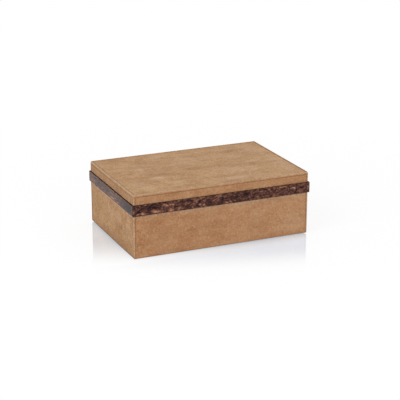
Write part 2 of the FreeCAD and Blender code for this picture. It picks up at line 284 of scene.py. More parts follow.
def peak_near(away, place, width, strength=1.0):
    """A mark that is strongest at one place beside the edge and fades over a width."""
    return strength * np.exp(-(((away - place) / width) ** 2))


def eased(value, start, end):
    """Goes softly from 0 at start to 1 at end."""
    share = np.clip((value - start) / (end - start), 0, 1)
    return share * share * (3 - 2 * share)


def cloud(along, height, clouds):
    """How strongly each point lies in one of the clouds. A cloud is its place along, its height, half its
    length, half its height, its lean in degrees and its strength."""
    total = np.zeros(np.broadcast(along, height).shape)
    for place, level, half_long, half_high, lean, strength in clouds:
        turn = math.radians(lean)
        first = (along - place) * math.cos(turn) + (height - level) * math.sin(turn)
        second = (height - level) * math.cos(turn) - (along - place) * math.sin(turn)
        total = np.maximum(total, strength * np.exp(-((first / half_long) ** 2) - (second / half_high) ** 2))
    return total


def soft_waves(first, second, seed, longest):
    """Gentle unevenness between -1 and 1 that repeats in every run."""
    source = np.random.default_rng(seed)
    total = np.zeros(np.broadcast(first, second).shape)
    for _ in range(WAVES):
        length = longest * source.uniform(SHORTEST_WAVE, 1.0)
        heading = source.uniform(0, math.pi)
        shift = source.uniform(0, 2 * math.pi)
        swing = (first * math.cos(heading) + second * math.sin(heading)) / length
        total = total + np.sin(2 * math.pi * swing + shift)
    return total / WAVES


print("ridge", RIDGE_RISE, "channel", CHANNEL_DEPTH, "stitches", STITCH_INSET, "mm from the edge")

# %% [markdown]
# ## The suede walls
# Each wall of the base is one panel of suede. It starts as a hem under the box, turns the bottom edge, goes
# up the face, turns the rim and ends as a hem on top of the wall. Seen from the end that is a C. On the lid
# the panel is cut level at the top, where the top panel lies on it. At the back the solids have notches for
# the hinges, so the same cells are left out here.

# %% Measure the hinges' notches
HINGE_PLACES = [(span(f"hinge_{hand}_pin")[0][0] + span(f"hinge_{hand}_pin")[1][0]) / 2
                for hand in ("left", "right")]
CUT_CLEAR = 0.2
LEAF_LOW, LEAF_HIGH = span("hinge_left_base_leaf")
NOTCH_HALF = (LEAF_HIGH[0] - LEAF_LOW[0]) / 2 + CUT_CLEAR
LEAF_CUT_INSET = BOX[1] - LEAF_LOW[1] + CUT_CLEAR
BARREL_CLEAR = 2.05
PIN_HEIGHT = (span("hinge_left_pin")[0][2] + span("hinge_left_pin")[1][2]) / 2
BASE_CUT = PIN_HEIGHT - BARREL_CLEAR
LID_CUT = PIN_HEIGHT + BARREL_CLEAR


def notch_lines(side):
    """Columns that run along the edges of the hinge notches."""
    if side != "back":
        return []
    return sorted(place + way * NOTCH_HALF for place in HINGE_PLACES for way in (-1, 1))


def in_notch(steps, side):
    """Which columns of cells lie in a hinge notch."""
    middles = (steps[:-1] + steps[1:]) / 2
    if side != "back":
        return np.zeros(len(middles), bool)
    return np.any([np.abs(middles - place) < NOTCH_HALF for place in HINGE_PLACES], axis=0)


def notched(seen, steps, side, cut, way):
    """Which cells of a wall stay: all but those in a hinge notch and beyond the cut, above it for way 1."""
    middles = (seen[:-1] + seen[1:]) / 2
    rows = (way * (middles[:, 1] - cut) > 0) & (middles[:, 0] < LEAF_CUT_INSET)
    keep = np.ones((len(seen) - 1, len(steps) - 1), bool)
    keep[np.ix_(rows, in_notch(steps, side))] = False
    return keep


print("hinges at", np.round(HINGE_PLACES, 1), "pin at", round(float(PIN_HEIGHT), 2))

# %% Profile helpers for the wall panels
ARC_STEPS = 6
RIM_RADIUS = 1.2
FOOT_RADIUS = 2.6
COARSE_STEP = 1.05
HEM_STEPS = [5.2, 3.4, 2.2]
LINES_APART = 0.3
CORNER_RADIUS = 2.0


def arc(start_degrees, end_degrees, centre, radius):
    """Points of an arc in the profile, without its two ends."""
    angles = np.radians(np.linspace(start_degrees, end_degrees, ARC_STEPS + 1))[1:-1]
    return [(centre[0] + radius * math.cos(a), centre[1] + radius * math.sin(a)) for a in angles]


def spaced(low, high, step):
    """Evenly spaced places from low to high, both included."""
    return list(np.linspace(low, high, max(2, round((high - low) / step) + 1)))


def path_steps(side, halves, corner, near, step, apart):
    """Columns along a wall and half its length. They lie close together beside the mitres and then even,
    with a line at each edge of a notch."""
    run = halves[SIDES[side] % 2]
    full = float(path_half(np.array(0.0), run, corner))
    lines = notch_lines(side)
    ends = [full - place for place in near]
    middle = [place for place in spaced(-ends[-1], ends[-1], step)[1:-1]
              if all(abs(place - line) > apart for line in lines)]
    return np.array(sorted([-end for end in ends] + middle + lines + ends)), full


def lay_panel(side, seen, hidden):
    """Columns, half length, grids, heights and share of the face of one suede wall panel."""
    steps, full = path_steps(side, BOX, CORNER_RADIUS, NEAR_STEPS, COARSE_STEP, LINES_APART)
    flat = bend_points(side, steps, seen, BOX, CORNER_RADIUS)
    back = bend_points(side, steps, hidden, BOX, CORNER_RADIUS)
    height = np.broadcast_to(seen[:, 1][:, None], flat.shape[:2])
    face = np.clip(1 - seen[:, 0] / RIM_RADIUS, 0, 1)[:, None] ** 0.5
    return steps, full, flat, back, height, face


print("rim radius", RIM_RADIUS, "foot radius", FOOT_RADIUS, "columns every", COARSE_STEP, "mm")

# %% Say how each wall is worn, and where light and shade are painted on it
BULGE = 0.1
LOT = {"front": 0.0, "right": 3.0, "back": 6.0, "left": 9.0}
TONE = {"front": 0.0, "right": 0.6, "back": 0.3, "left": 2.0}
PILLOW = {"front": 0.1, "right": 0.6, "back": 0.2, "left": 0.7}
# Painted shade on each wall: how dark its seam channels are painted, then how dark its foot is painted.
SEAM_SHADE = {"front": 0.5, "right": 0.8, "back": 0.6, "left": 1.8}
FOOT_SHADE = {"front": 0.15, "right": 0.8, "back": 0.5, "left": 1.2}
SETTLE_FADE = (2.2, 8.0)
BASE_WAVE = 70
# Pale places beside the seams, partly wear and partly a painted highlight: how far from the edge, how wide
# and how strong.
SEAM_WEAR_AND_HIGHLIGHT = {"front": (0.1, 1.0, 0.6), "right": (0.9, 1.4, 0.7), "back": (0.3, 1.0, 0.7), "left": (0.9, 1.4, 0.7)}
# Painted light along the base's rim, under the horn band where its shade would fall, with some rubbed nap.
RIM_WEAR_AND_LIGHT = (0, 3.2, 0.75)
FOOT_EDGE = (0, 1.6)
FOOT_LINE = (1.4, 1.5)
FOOT_HAZE = (0, 9, 0.28)
# Clouds where the nap lies darker or lighter. The wide first cloud of the left wall is painted shade over
# that whole wall.
WALL_DIM = {
    "front": [(-113, 55, 12, 8, 0, 0.35), (-98, 34, 20, 15, 0, 0.36), (-50, 54, 40, 9, 0, 0.14),
              (-12, 32, 30, 12, 0, 0.22), (8, 11, 24, 6, 0, 0.16), (64, 28, 20, 10, 0, 0.26)],
    "right": [(30, 40, 20, 14, 20, 0.3)],
    "back": [(-60, 30, 30, 14, 10, 0.3), (80, 45, 24, 12, -10, 0.3)],
    "left": [(0, 36, 400, 200, 0, 0.13), (-88, 36, 12, 40, 0, 0.25), (-55, 42, 26, 14, 0, 0.33),
             (-64, 25, 20, 14, 0, 0.32), (-12, 9, 52, 10, 0, 0.42), (60, 11, 38, 12, 0, 0.56)],
}
WALL_LIFT = {
    "front": [(57, 50, 8, 16, 0, 0.25), (60, 62, 70, 7, 0, 0.16), (20, 42, 9, 7, 0, 0.22),
              (126, 24, 22, 20, 0, 0.22), (-80, 10, 30, 5, 0, 0.14), (95, 9, 35, 5, 0, 0.14)],
    "right": [(-40, 30, 30, 14, 0, 0.25)],
    "back": [(10, 50, 40, 12, 0, 0.25)],
    "left": [(4, 44, 18, 12, 0, 0.28), (76, 46, 20, 12, 0, 0.22)],
}
print("clouds on the walls", sum(len(found) for found in [*WALL_DIM.values(), *WALL_LIFT.values()]))

# %% Cut the suede panels of the base
PILLOW_POWER = 6


def pillow(steps, full, depth):
    """The soft fullness of a panel, gone at both seams. A higher power keeps it fuller near them."""
    return depth * (1 - (np.abs(steps) / full) ** PILLOW_POWER)


def base_profile():
    """Seen profile of a base panel as inset and height, and the hidden side one leather inside it."""
    low, top, r, foot = BASE_LOW, BASE_TOP, RIM_RADIUS, FOOT_RADIUS
    seen = [(HEM, low)] + [(inset, low) for inset in HEM_STEPS if inset > foot] + [(foot, low)]
    seen += arc(270, 180, (foot, low + foot), foot)
    heights = spaced(low + foot, BASE_CUT, COARSE_STEP) + [top - r]
    seen += [(0.0, height) for height in heights]
    seen += arc(180, 90, (r, top - r), r)
    seen += [(r, top)] + [(inset, top) for inset in reversed(HEM_STEPS)] + [(LEAF_CUT_INSET, top), (HEM, top)]
    seen = np.array(seen)
    inside = np.clip(seen[:, 1], low + LEATHER, top - LEATHER)
    return seen, np.stack([np.maximum(seen[:, 0], LEATHER), inside], axis=-1)


def sew_base_panel(side):
    """One suede panel of the base, with relief beside its two upright seams."""
    seen, hidden = base_profile()
    steps, full, flat, back, height, face = lay_panel(side, seen, hidden)
    away = np.broadcast_to(full - np.abs(steps)[None, :], height.shape)
    rise, painted_shade = seam_relief(away, height, 1.0)
    swell = BULGE * soft_waves(steps[None, :], height, WAVE_SEEDS["base"] + SIDES[side], BASE_WAVE)
    swell = swell + pillow(steps, full, PILLOW[side])[None, :]
    if side == "back":
        face = face * eased(BASE_TOP - height, *SETTLE_FADE)
    moved = pushed(flat, (rise + swell) * face)
    up = height - BASE_LOW
    # pale ridge beside the seam (wear and painted highlight), and painted light along the rim
    wear_and_light = np.maximum(peak_near(away, *SEAM_WEAR_AND_HIGHLIGHT[side]) * face, peak_near(BASE_TOP - height, *RIM_WEAR_AND_LIGHT))
    # painted shade along the foot: a narrow dark line and a wider haze
    shade = peak_near(up, *FOOT_LINE) + peak_near(up, *FOOT_HAZE)
    marks = {
        "wear_and_light": np.clip(wear_and_light, 0, 1),
        "painted_shade": np.clip(painted_shade * SEAM_SHADE[side] * face + shade * FOOT_SHADE[side], 0, 1),
        "foot": peak_near(up, *FOOT_EDGE),
        "dim": cloud(steps[None, :], height, WALL_DIM[side]),
        "lift": cloud(steps[None, :], height, WALL_LIFT[side]),
        "tone": TONE[side], "lot": LOT[side],
    }
    piece = close_shell(f"base_{side}_skin", moved, back, marks, notched(seen, steps, side, BASE_CUT, 1))
    return piece, flat, steps, seen


base_panels = {side: sew_base_panel(side) for side in SIDES}

# %% [markdown]
# ## The lid's walls and top
# The lid's wall panels have a seam along the top as well as at the corners. Both follow the same rule, so the
# nearer seam decides the relief, and the two channels meet in a neat corner. Behind the horn band the suede
# lies flat, because there is nothing to sew there. The top panel covers everything with a cut edge.

# %% Cut the suede panels of the lid
FLAT_AWAY = 9.0
# Pale along the top seam of the lid walls, partly wear and partly a painted highlight.
EDGE_WEAR_AND_HIGHLIGHT = {"front": (0.0, 0.7, 0.3), "right": (0.8, 1.1, 0.6), "back": (0.0, 0.8, 0.4),
             "left": (0.9, 1.1, 0.6)}
# Painted shade over each whole lid wall, darkest on the left.
LID_SIDE_SHADE = {"front": 0.0, "right": 0.2, "back": 0.1, "left": 0.46}
LID_TONE = {"front": 0.0, "right": 0.6, "back": 0.3, "left": 2.6}
LID_LOT_SHIFT = 1.3
LID_WAVE = 60
LID_PILLOW_SHARE = 0.4
FULL_UNDER_TOP = 4
FLATTENED_OVER = 1.5
WELT_OVER = 2.5


def lid_profile():
    """Seen profile of a lid wall, from its hem to its cut top edge, with the hidden side."""
    low, top, r = LID_LOW, LID_SEAM, RIM_RADIUS
    seen = [(HEM, low), (LEAF_CUT_INSET, low)] + [(inset, low) for inset in HEM_STEPS] + [(r, low)]
    seen += arc(270, 180, (r, low + r), r)
    seen += [(0.0, low + r)]
    seen += [(0.0, height) for height in spaced(LID_CUT, top - NEAR_STEPS[-1], COARSE_STEP)]
    seen += [(0.0, top - step) for step in reversed(NEAR_STEPS[:-1])]
    seen = np.array(seen)
    hidden = np.stack([np.maximum(seen[:, 0], LEATHER), np.clip(seen[:, 1], low + LEATHER, top)], axis=-1)
    return seen, hidden


def sew_lid_wall(side):
    """One suede wall of the lid, with relief beside its corners and under the top panel."""
    seen, hidden = lid_profile()
    steps, full, flat, back, height, face = lay_panel(side, seen, hidden)
    along = np.broadcast_to(steps[None, :], height.shape)
    behind_band = eased(height, BAND_TOP, BAND_TOP - FLATTENED_OVER)
    from_corner = full - np.abs(along) + FLAT_AWAY * behind_band
    from_top = LID_SEAM - height
    away = np.minimum(from_corner, from_top)
    welt = eased(from_top - from_corner, 0, WELT_OVER)
    rise, painted_shade = seam_relief(away, np.where(from_corner < from_top, height, along), welt)
    swell = BULGE * soft_waves(steps[None, :], height, WAVE_SEEDS["lid"] + SIDES[side], LID_WAVE)
    fullness = pillow(steps, full, LID_PILLOW_SHARE * PILLOW[side])[None, :]
    swell = swell + fullness * eased(from_top, 0, FULL_UNDER_TOP)
    moved = pushed(flat, (rise + swell) * face)
    wear_and_light = np.maximum(peak_near(from_corner, *SEAM_WEAR_AND_HIGHLIGHT[side]), peak_near(from_top, *EDGE_WEAR_AND_HIGHLIGHT[side]))
    marks = {
        "wear_and_light": np.clip(wear_and_light * face, 0, 1), "painted_shade": np.clip(painted_shade * SEAM_SHADE[side] * face, 0, 1),
        "foot": 0.0, "tone": LID_TONE[side], "dim": LID_SIDE_SHADE[side], "lot": LOT[side] + LID_LOT_SHIFT,
    }
    piece = close_shell(f"lid_{side}_skin", moved, back, marks, notched(seen, steps, side, LID_CUT, -1))
    return piece, flat, steps, seen


lid_panels = {side: sew_lid_wall(side) for side in SIDES}

# %% Say how the nap lies on the top
TOP_DIM = [
    (-87, -9, 7, 6, 0, 0.6), (-68, -10, 7, 7, 0, 0.65), (-71, 14, 4, 20, 4, 0.45),
    (-52, 5, 18, 16, 0, 0.42), (0, -7, 55, 9, -2, 0.42), (3, -8, 4, 4, 0, 0.6), (34, -7, 10, 6, 0, 0.5),
    (77, -2, 9, 6, 0, 0.5), (88, -22, 9, 9, 30, 0.5), (84, 62, 16, 9, 0, 0.45), (50, 68, 14, 7, 0, 0.35),
    (-113, 87, 14, 8, 0, 0.5), (-83, 55, 18, 14, 0, 0.35), (-131, -91, 10, 7, 0, 0.6),
    (-52, -83, 12, 6, 0, 0.4), (20, -88, 20, 5, 0, 0.3), (-70, -16, 18, 9, 0, 0.75),
    (-92, 35, 24, 12, 0, 0.45), (-84, 10, 18, 12, -30, 0.4), (-45, 38, 30, 12, 0, 0.2),
    (-20, 60, 16, 10, 0, 0.2), (110, -28, 22, 14, 0, 0.2), (40, -36, 12, 10, 0, 0.16),
]
TOP_LIFT = [
    (-93, 20, 5, 12, 0, 0.5), (-82, -27, 12, 8, 0, 0.45), (-120, -55, 14, 24, 10, 0.3),
    (-66, -70, 12, 8, 20, 0.25), (-37, 78, 13, 7, 0, 0.45), (134, -45, 14, 44, 0, 0.4),
    (50, -38, 26, 14, 0, 0.35), (84, 28, 14, 12, 0, 0.3), (30, -78, 26, 10, 0, 0.4),
    (120, 70, 24, 20, 0, 0.3), (0, 40, 30, 16, 0, 0.2), (124, 42, 22, 16, 0, 0.28),
    (62, 10, 12, 8, 0, 0.16), (-40, -42, 10, 8, 0, 0.22), (72, -82, 24, 8, 0, 0.24),
]
print("clouds on the top", len(TOP_DIM) + len(TOP_LIFT))


# %% Cover a plate with points
def plate_steps(half, near, step):
    """Lines across a plate, close together at both edges."""
    ends = [half - place for place in near]
    return np.array([-end for end in ends] + spaced(-ends[-1], ends[-1], step)[1:-1] + ends[::-1])


def plate_grid(half_x, half_y, corner, near, step):
    """A grid over a plate with rounded corners, and how far each point is from the edge."""
    x, y = np.meshgrid(plate_steps(half_x, near, step), plate_steps(half_y, near, step))
    u = np.clip((np.abs(x) - half_x + corner) / corner, 0, 1)
    v = np.clip((np.abs(y) - half_y + corner) / corner, 0, 1)
    both = (u > 0) & (v > 0)
    bent_x = np.sign(x) * (half_x - corner + corner * u * np.sqrt(1 - v * v / 2))
    bent_y = np.sign(y) * (half_y - corner + corner * v * np.sqrt(1 - u * u / 2))
    x, y = np.where(both, bent_x, x), np.where(both, bent_y, y)
    straight = np.minimum(half_x - np.abs(x), half_y - np.abs(y))
    out_x = np.maximum(np.abs(x) - half_x + corner, 0)
    out_y = np.maximum(np.abs(y) - half_y + corner, 0)
    away = np.where(both, corner - np.hypot(out_x, out_y), straight)
    along = np.where(half_x - np.abs(x) < half_y - np.abs(y), y, x)
    return x, y, np.maximum(away, 0), along


def edge_drop(away, radius):
    """How far a rounded edge lies under the plate's face."""
    inside = np.clip(radius - away, 0, radius)
    return radius - np.sqrt(radius * radius - inside * inside)


def close_plate(name, x, y, heights, back, marks):
    """A plate between a grid of heights and the level of its hidden side."""
    hidden = np.full(x.shape, back)
    return close_shell(name, np.stack([x, y, heights], axis=-1), np.stack([x, y, hidden], axis=-1), marks)


TOP_STEP = 1.5
print("lines across the top", len(plate_steps(BOX[0], NEAR_STEPS, TOP_STEP)))

# %% Lay the top panel
TOP_ROUND = 0.6
TOP_LOT = 14.0
# The top's pale ridge, partly wear and partly a painted highlight: its place and width, then its strength,
# with more at the sides.
TOP_PALE_PLACE = (0.5, 1.0)
TOP_WEAR_AND_HIGHLIGHT, TOP_SIDE_WEAR_AND_HIGHLIGHT = 0.6, 0.1
# how dark shade is painted into the top's seam channel, then the extra at the left and right sides
TOP_SEAM_SHADE, TOP_SIDE_SEAM_SHADE = 0.45, 1.35
TOP_WAVE, TOP_WAVE_LENGTH = 0.16, 120
TOP_HOLLOW = 0.12
MIDDLE_FADE = (4, 14)
HOLLOW_FADE = (20, 70)


def sew_top():
    """The lid's top panel: a proud ridge all round, a sewn channel and a slightly uneven middle."""
    x, y, away, along = plate_grid(BOX[0], BOX[1], CORNER_RADIUS, NEAR_STEPS, TOP_STEP)
    rise, painted_shade = seam_relief(away, along)
    at_side = eased((BOX[1] - np.abs(y)) - (BOX[0] - np.abs(x)), -1, 1)
    wear_and_light = peak_near(away, *TOP_PALE_PLACE) * (TOP_WEAR_AND_HIGHLIGHT + TOP_SIDE_WEAR_AND_HIGHLIGHT * at_side)
    rise = rise + JOIN_DEPTH * np.exp(-((away / JOIN_WIDTH) ** 2))
    middle = eased(away, *MIDDLE_FADE)
    wave = TOP_WAVE * middle * soft_waves(x, y, WAVE_SEEDS["top"], TOP_WAVE_LENGTH)
    hollow = TOP_HOLLOW * middle * (1 - eased(away, *HOLLOW_FADE))
    heights = LID_TOP - edge_drop(away, TOP_ROUND) + rise + (wave - hollow)
    marks = {
        "wear_and_light": wear_and_light, "painted_shade": np.clip(painted_shade * (TOP_SEAM_SHADE + TOP_SIDE_SEAM_SHADE * at_side), 0, 1),
        "foot": 0.0, "tone": 1.0, "dim": cloud(x, y, TOP_DIM), "lift": cloud(x, y, TOP_LIFT), "lot": TOP_LOT,
    }
    return close_plate("lid_top_skin", x, y, heights, LID_SEAM, marks)


lid_top = sew_top()

# %% [markdown]
# ## The horn band
# The band is four thin strips of polished horn, mitred at the corners. Sawn and polished horn is never quite
# flat, and its arrises are eased by hand, so the strips are built like the walls: the same path, another
# profile, and a faint crown. Each strip also gets numbers on its points that say where the pale and dark
# clouds of the horn lie, since clouds in horn are placed by the sheet it was cut from and not by chance.
# On the left strip the dark clouds are partly horn and partly painted shade, most of all near its front
# end, and the narrow upright pale mark there is a painted highlight on the corner.

# %% Place the clouds of the horn, with painted shade and a painted highlight on the left strip
PALE_CLOUDS = {
    "front": [(-150.5, 9, 1.2, 6, 0, 0.4), (-146, 12.9, 1.6, 1.8, 0, 0.6), (-137, 3.4, 7, 2.0, 0, 0.8),
              (-113, 3.5, 7, 2.2, 0, 0.9), (-111, 3.2, 2.5, 1.4, 0, 1.2), (-97, 11.4, 6, 1.9, -38, 0.8),
              (-86, 12, 6, 2.4, 0, 0.5), (-87, 2.4, 10, 1.9, 0, 0.8), (-50, 8, 1.6, 5, 20, 0.6),
              (-43, 13.6, 5, 1.4, 20, 0.5), (-39.5, 4.6, 2.6, 2.4, 0, 0.9), (-33, 5.2, 1.4, 3.2, 0, 0.8),
              (-53, 3.2, 1.4, 1.4, 0, 0.9), (-20, 9, 10, 1.0, 6, 0.35), (-9, 11, 1.0, 1.8, 0, 0.8),
              (4.5, 12, 2, 1.6, 0, 0.5), (5.5, 2.2, 3, 1.6, 0, 1.1), (60, 5.4, 2, 2.2, 0, 0.7),
              (79, 3.4, 1.8, 2.2, 0, 0.7), (102, 15, 6.5, 1.4, 4, 0.7), (122.5, 11, 5, 2.8, -12, 0.9),
              (149.5, 9, 1.2, 8, 0, 0.6)],
    # the last left cloud, narrow and upright near the front end, is a painted highlight on the corner
    "left": [(-86, 8, 12, 8, 0, 0.3), (14, 3.4, 12, 2.2, 0, 0.75), (34, 3.0, 9, 1.8, 0, 0.6),
             (4, 12, 16, 2, -6, 0.25), (97.3, 9, 0.8, 9, 0, 0.8)],
    "right": [(-70, 6, 9, 3, 20, 0.8), (-20, 12, 12, 2.5, -15, 0.7), (35, 5, 10, 3, 10, 0.8),
              (80, 10, 7, 3, -20, 0.8)],
    "back": [(-120, 8, 10, 3, 15, 0.8), (-60, 4, 12, 2.4, -10, 0.7), (0, 11, 14, 3, 8, 0.6),
             (55, 5, 9, 3, -18, 0.8), (118, 9, 9, 3, 12, 0.7)],
}
DARK_CLOUDS = {
    "front": [(-142.5, 7.4, 3, 2.4, 0, 0.9), (-120, 12.5, 18, 4, 0, 0.8), (-60.5, 14, 3.6, 1.7, 0, 0.9),
              (-47, 4.6, 2.4, 2.2, 0, 1.0), (-40.5, 10.4, 2.4, 3, 0, 1.0), (-2.5, 9, 2.6, 6, 0, 0.7),
              (20, 9, 7, 3, 24, 0.7), (38, 10, 8, 3, 20, 0.7), (53, 9, 1.3, 5, -14, 1.0),
              (83.5, 13, 2.2, 1.7, 0, 1.0), (128, 10, 0.9, 5.8, 3, 1.2), (139, 10.4, 5, 1.3, 0, 1.0)],
    # left: partly horn and partly painted shade, most of all near the front end
    "left": [(52, 6, 6, 5, 0, 0.6), (-34, 13, 40, 3, 0, 0.4), (80, 9, 26, 12, 0, 0.75)],
    "right": [(-88, 11, 7, 3, -20, 0.9), (-45, 7, 10, 3, 15, 0.9), (8, 8, 12, 3, 8, 0.8),
              (60, 9, 10, 3, 22, 0.9)],
    "back": [(-140, 9, 6, 4, 0, 0.9), (-90, 11, 12, 3, -12, 0.8), (-28, 7, 12, 3, 18, 0.9),
             (30, 8, 10, 3, -10, 0.8), (90, 11, 12, 3, 14, 0.9)],
}
print("clouds in the horn", sum(len(found) for found in [*PALE_CLOUDS.values(), *DARK_CLOUDS.values()]))

# %% Shape the band's strips
STRIP = BAND[0] - BOX[0]
ARRIS = 0.55
INNER_LINE = 1.2
INNER_CLEAR = 0.05
CROWN = 0.1
STRIP_WAVE, STRIP_WAVE_LENGTH = 0.07, 40
STRIP_STEP = 0.62
STRIP_LINES_APART = 0.2
STRIP_ENDS = [0, 0.1, 0.22, 0.36, 0.55, 0.8, 1.2]


def shape_strip(side):
    """One mitred strip of horn with eased arrises."""
    low, top = BAND_LOW, BAND_TOP
    edge = [ARRIS, INNER_LINE, STRIP - INNER_CLEAR]
    seen = [(inset, low) for inset in edge[::-1]] + arc(270, 180, (ARRIS, low + ARRIS), ARRIS)
    seen += [(0.0, height) for height in spaced(low + ARRIS, LID_CUT, STRIP_STEP)]
    seen += [(0.0, height) for height in spaced(LID_CUT, top - ARRIS, STRIP_STEP)[1:]]
    seen += arc(180, 90, (ARRIS, top - ARRIS), ARRIS) + [(inset, top) for inset in edge]
    seen = np.array(seen)
    inside = np.clip(seen[:, 1], low + INNER_CLEAR, top - INNER_CLEAR)
    hidden = np.stack([np.full(len(seen), STRIP), inside], axis=-1)
    steps, _ = path_steps(side, BAND, ARRIS, STRIP_ENDS, STRIP_STEP, STRIP_LINES_APART)
    flat = bend_points(side, steps, seen, BAND, ARRIS)
    back = bend_points(side, steps, hidden, BAND, ARRIS)
    level = (seen[:, 1] - low)[:, None]
    middle = (top - low) / 2
    crown = CROWN * (1 - ((level - middle) / middle) ** 2)
    seed = WAVE_SEEDS["band"] + SIDES[side]
    wave = STRIP_WAVE * soft_waves(steps[None, :], level, seed, STRIP_WAVE_LENGTH)
    face = np.clip(1 - seen[:, 0] / ARRIS, 0, 1)[:, None]
    moved = pushed(flat, (crown + wave) * face)
    marks = {
        "pale": cloud(steps[None, :], level, PALE_CLOUDS[side]),
        "dark": cloud(steps[None, :], level, DARK_CLOUDS[side]), "lot": LOT[side],
    }
    return close_shell(f"band_{side}_horn", moved, back, marks, notched(seen, steps, side, LID_CUT, -1))


strips = {side: shape_strip(side) for side in SIDES}

# %% [markdown]
# ## Lining, pads and felt
# Inside, the walls are lined with velveteen over card, the floor and the ceiling have thin padded boards, and
# the underside has a sheet of felt. The pads are crowned: full in the middle, thin at the edges, with sides
# that pull in a little between the corners, as a covered card does when its cloth is glued behind. A short
# cloth simulation then blows each cover up a little, with no gravity and with its glued side held.

# %% Line the walls
LINING_ROUND = 0.45
ROUND_STEPS = 5
LINING_STEP = 2.4
LINING_COLUMNS = 2.6
LIP_CLEAR = 0.2
LIP_UNDER = 0.1
LINING_WAVE, LINING_WAVE_LENGTH = 0.12, 55
ON_FACE = 0.01


def line_wall(body, side):
    """A strip of lining on the inside of one wall, with a soft free edge."""
    low, high = span(f"{body}_{side}_lining")
    axis = 1 - SIDES[side] % 2
    depths = [BOX[axis] - abs(low[axis]), BOX[axis] - abs(high[axis])]
    nearest, deepest = min(depths), max(depths)
    fixed, free, way = (low[2], high[2], 1) if body == "base" else (high[2], low[2], -1)
    heights = np.array(spaced(fixed, free - way * LINING_ROUND, LINING_STEP))
    bend = np.radians(np.linspace(0, 90, ROUND_STEPS))[1:]
    rounded = deepest - LINING_ROUND * (1 - np.cos(bend))
    inset = np.concatenate([np.full(len(heights), deepest), rounded, [nearest + LIP_CLEAR]])
    level = np.concatenate([heights, free - way * LINING_ROUND * (1 - np.sin(bend)), [free]])
    hidden = np.where(way * level < way * free - LIP_UNDER, level, free - way * LIP_UNDER)
    steps = np.array(spaced(-BOX[1 - axis], BOX[1 - axis], LINING_COLUMNS))
    seen = bend_points(side, steps, np.stack([inset, level], axis=-1), BOX, 0.0)
    back = bend_points(side, steps, np.stack([np.full(len(level), nearest), hidden], axis=-1), BOX, 0.0)
    seed = WAVE_SEEDS["lining"] + SIDES[side]
    swell = LINING_WAVE * soft_waves(steps[None, :], level[:, None], seed, LINING_WAVE_LENGTH)
    swell = way * swell * (inset > deepest - ON_FACE)[:, None]
    return close_shell(f"{body}_{side}_velveteen", pushed(seen, swell), back, {})


linings = {(body, side): line_wall(body, side) for body in ("base", "lid") for side in SIDES}

# %% Pad the floor and the ceiling
PAD_NEAR = [0, 0.25, 0.6, 1.1, 1.8, 2.8, 4.2]
PAD_CORNER = 1.5
PAD_STEP = 3.0
PAD_ROUND = 0.6
PULL_X, PULL_Y = 0.004, 0.006
EDGE_SHARE, FULL_SHARE, FULL_WITHIN = 0.35, 0.37, 3.2
PAD_WAVE, PAD_WAVE_LENGTH = 0.05, 50
PAD_WAVE_FADE = (2, 9)
PAD_PRESSURE = 4.0
PAD_QUALITY = 4
PAD_FRAMES = 20
PAD_CAP = 0.5
GLUED_WITHIN = 0.02


def fill_pad(pad, glued_level):
    """Blows the cover up a little with a short cloth simulation. Its glued side stays where it is."""
    mesh = pad.data
    count = len(mesh.vertices)
    start = np.empty(count * 3, np.float32)
    mesh.vertices.foreach_get("co", start)
    start = start.reshape(-1, 3)
    off_glue = np.abs(start[:, 2] / TO_METRES - glued_level)
    held = pad.vertex_groups.new(name="glued")
    held.add([int(point) for point in np.flatnonzero(off_glue < GLUED_WITHIN)], 1.0, "REPLACE")
    cloth = pad.modifiers.new("fill", "CLOTH")
    cloth.settings.quality = PAD_QUALITY
    cloth.settings.vertex_group_mass = "glued"
    cloth.settings.use_pressure = True
    cloth.settings.uniform_pressure_force = PAD_PRESSURE
    cloth.settings.effector_weights.gravity = 0.0
    cloth.point_cache.frame_end = PAD_FRAMES
    for moment in range(1, PAD_FRAMES + 1):
        scene.frame_set(moment)
    filled = pad.evaluated_get(bpy.context.evaluated_depsgraph_get()).data
    end = np.empty(count * 3, np.float32)
    filled.vertices.foreach_get("co", end)
    move = end.reshape(-1, 3) - start
    pad.modifiers.remove(cloth)
    pad.vertex_groups.clear()
    scene.frame_set(1)
    length = np.linalg.norm(move, axis=1, keepdims=True) / TO_METRES
    kept = PAD_CAP * np.tanh(length / PAD_CAP) / np.maximum(length, TINY)
    mesh.vertices.foreach_set("co", (start + move * kept).ravel())
    mesh.update()
    print(pad.name, "swelled", round(float(length.max()), 2), "kept", round(float((length * kept).max()), 2))


def make_pad(name, node, way):
    """A thin crowned pad in the space of its solid, with its full face up for way 1 and down for way -1."""
    low, high = span(node)
    x, y, away, _ = plate_grid(high[0], high[1], PAD_CORNER, PAD_NEAR, PAD_STEP)
    pull_x = 1 - PULL_X * np.cos(math.pi * y / (2 * high[1]))
    pull_y = 1 - PULL_Y * np.cos(math.pi * x / (2 * high[0]))
    thickness = (high[2] - low[2]) * (EDGE_SHARE + FULL_SHARE * (1 - np.exp(-away / FULL_WITHIN)))
    wave = eased(away, *PAD_WAVE_FADE) * soft_waves(x, y, WAVE_SEEDS["pad"], PAD_WAVE_LENGTH)
    thickness = thickness + PAD_WAVE * wave
    glued = low[2] if way > 0 else high[2]
    heights = glued + way * (thickness - edge_drop(away, PAD_ROUND))
    pad = close_plate(name, x * pull_x, y * pull_y, heights, glued, {})
    fill_pad(pad, glued)
    return pad


floor_pad = make_pad("floor_pad_cover", "base_floor_pad", 1)
ceiling_pad = make_pad("ceiling_pad_cover", "lid_ceiling_pad", -1)

# %% Cut the felt
FELT_NEAR = [0, 0.15, 0.4, 0.9, 1.8, 3.2, 4.0]
FELT_CORNER = 4.0
FELT_STEP = 3.5
FELT_ROUND = 0.3
FRAY, FRAY_LENGTH = 0.0012, 14


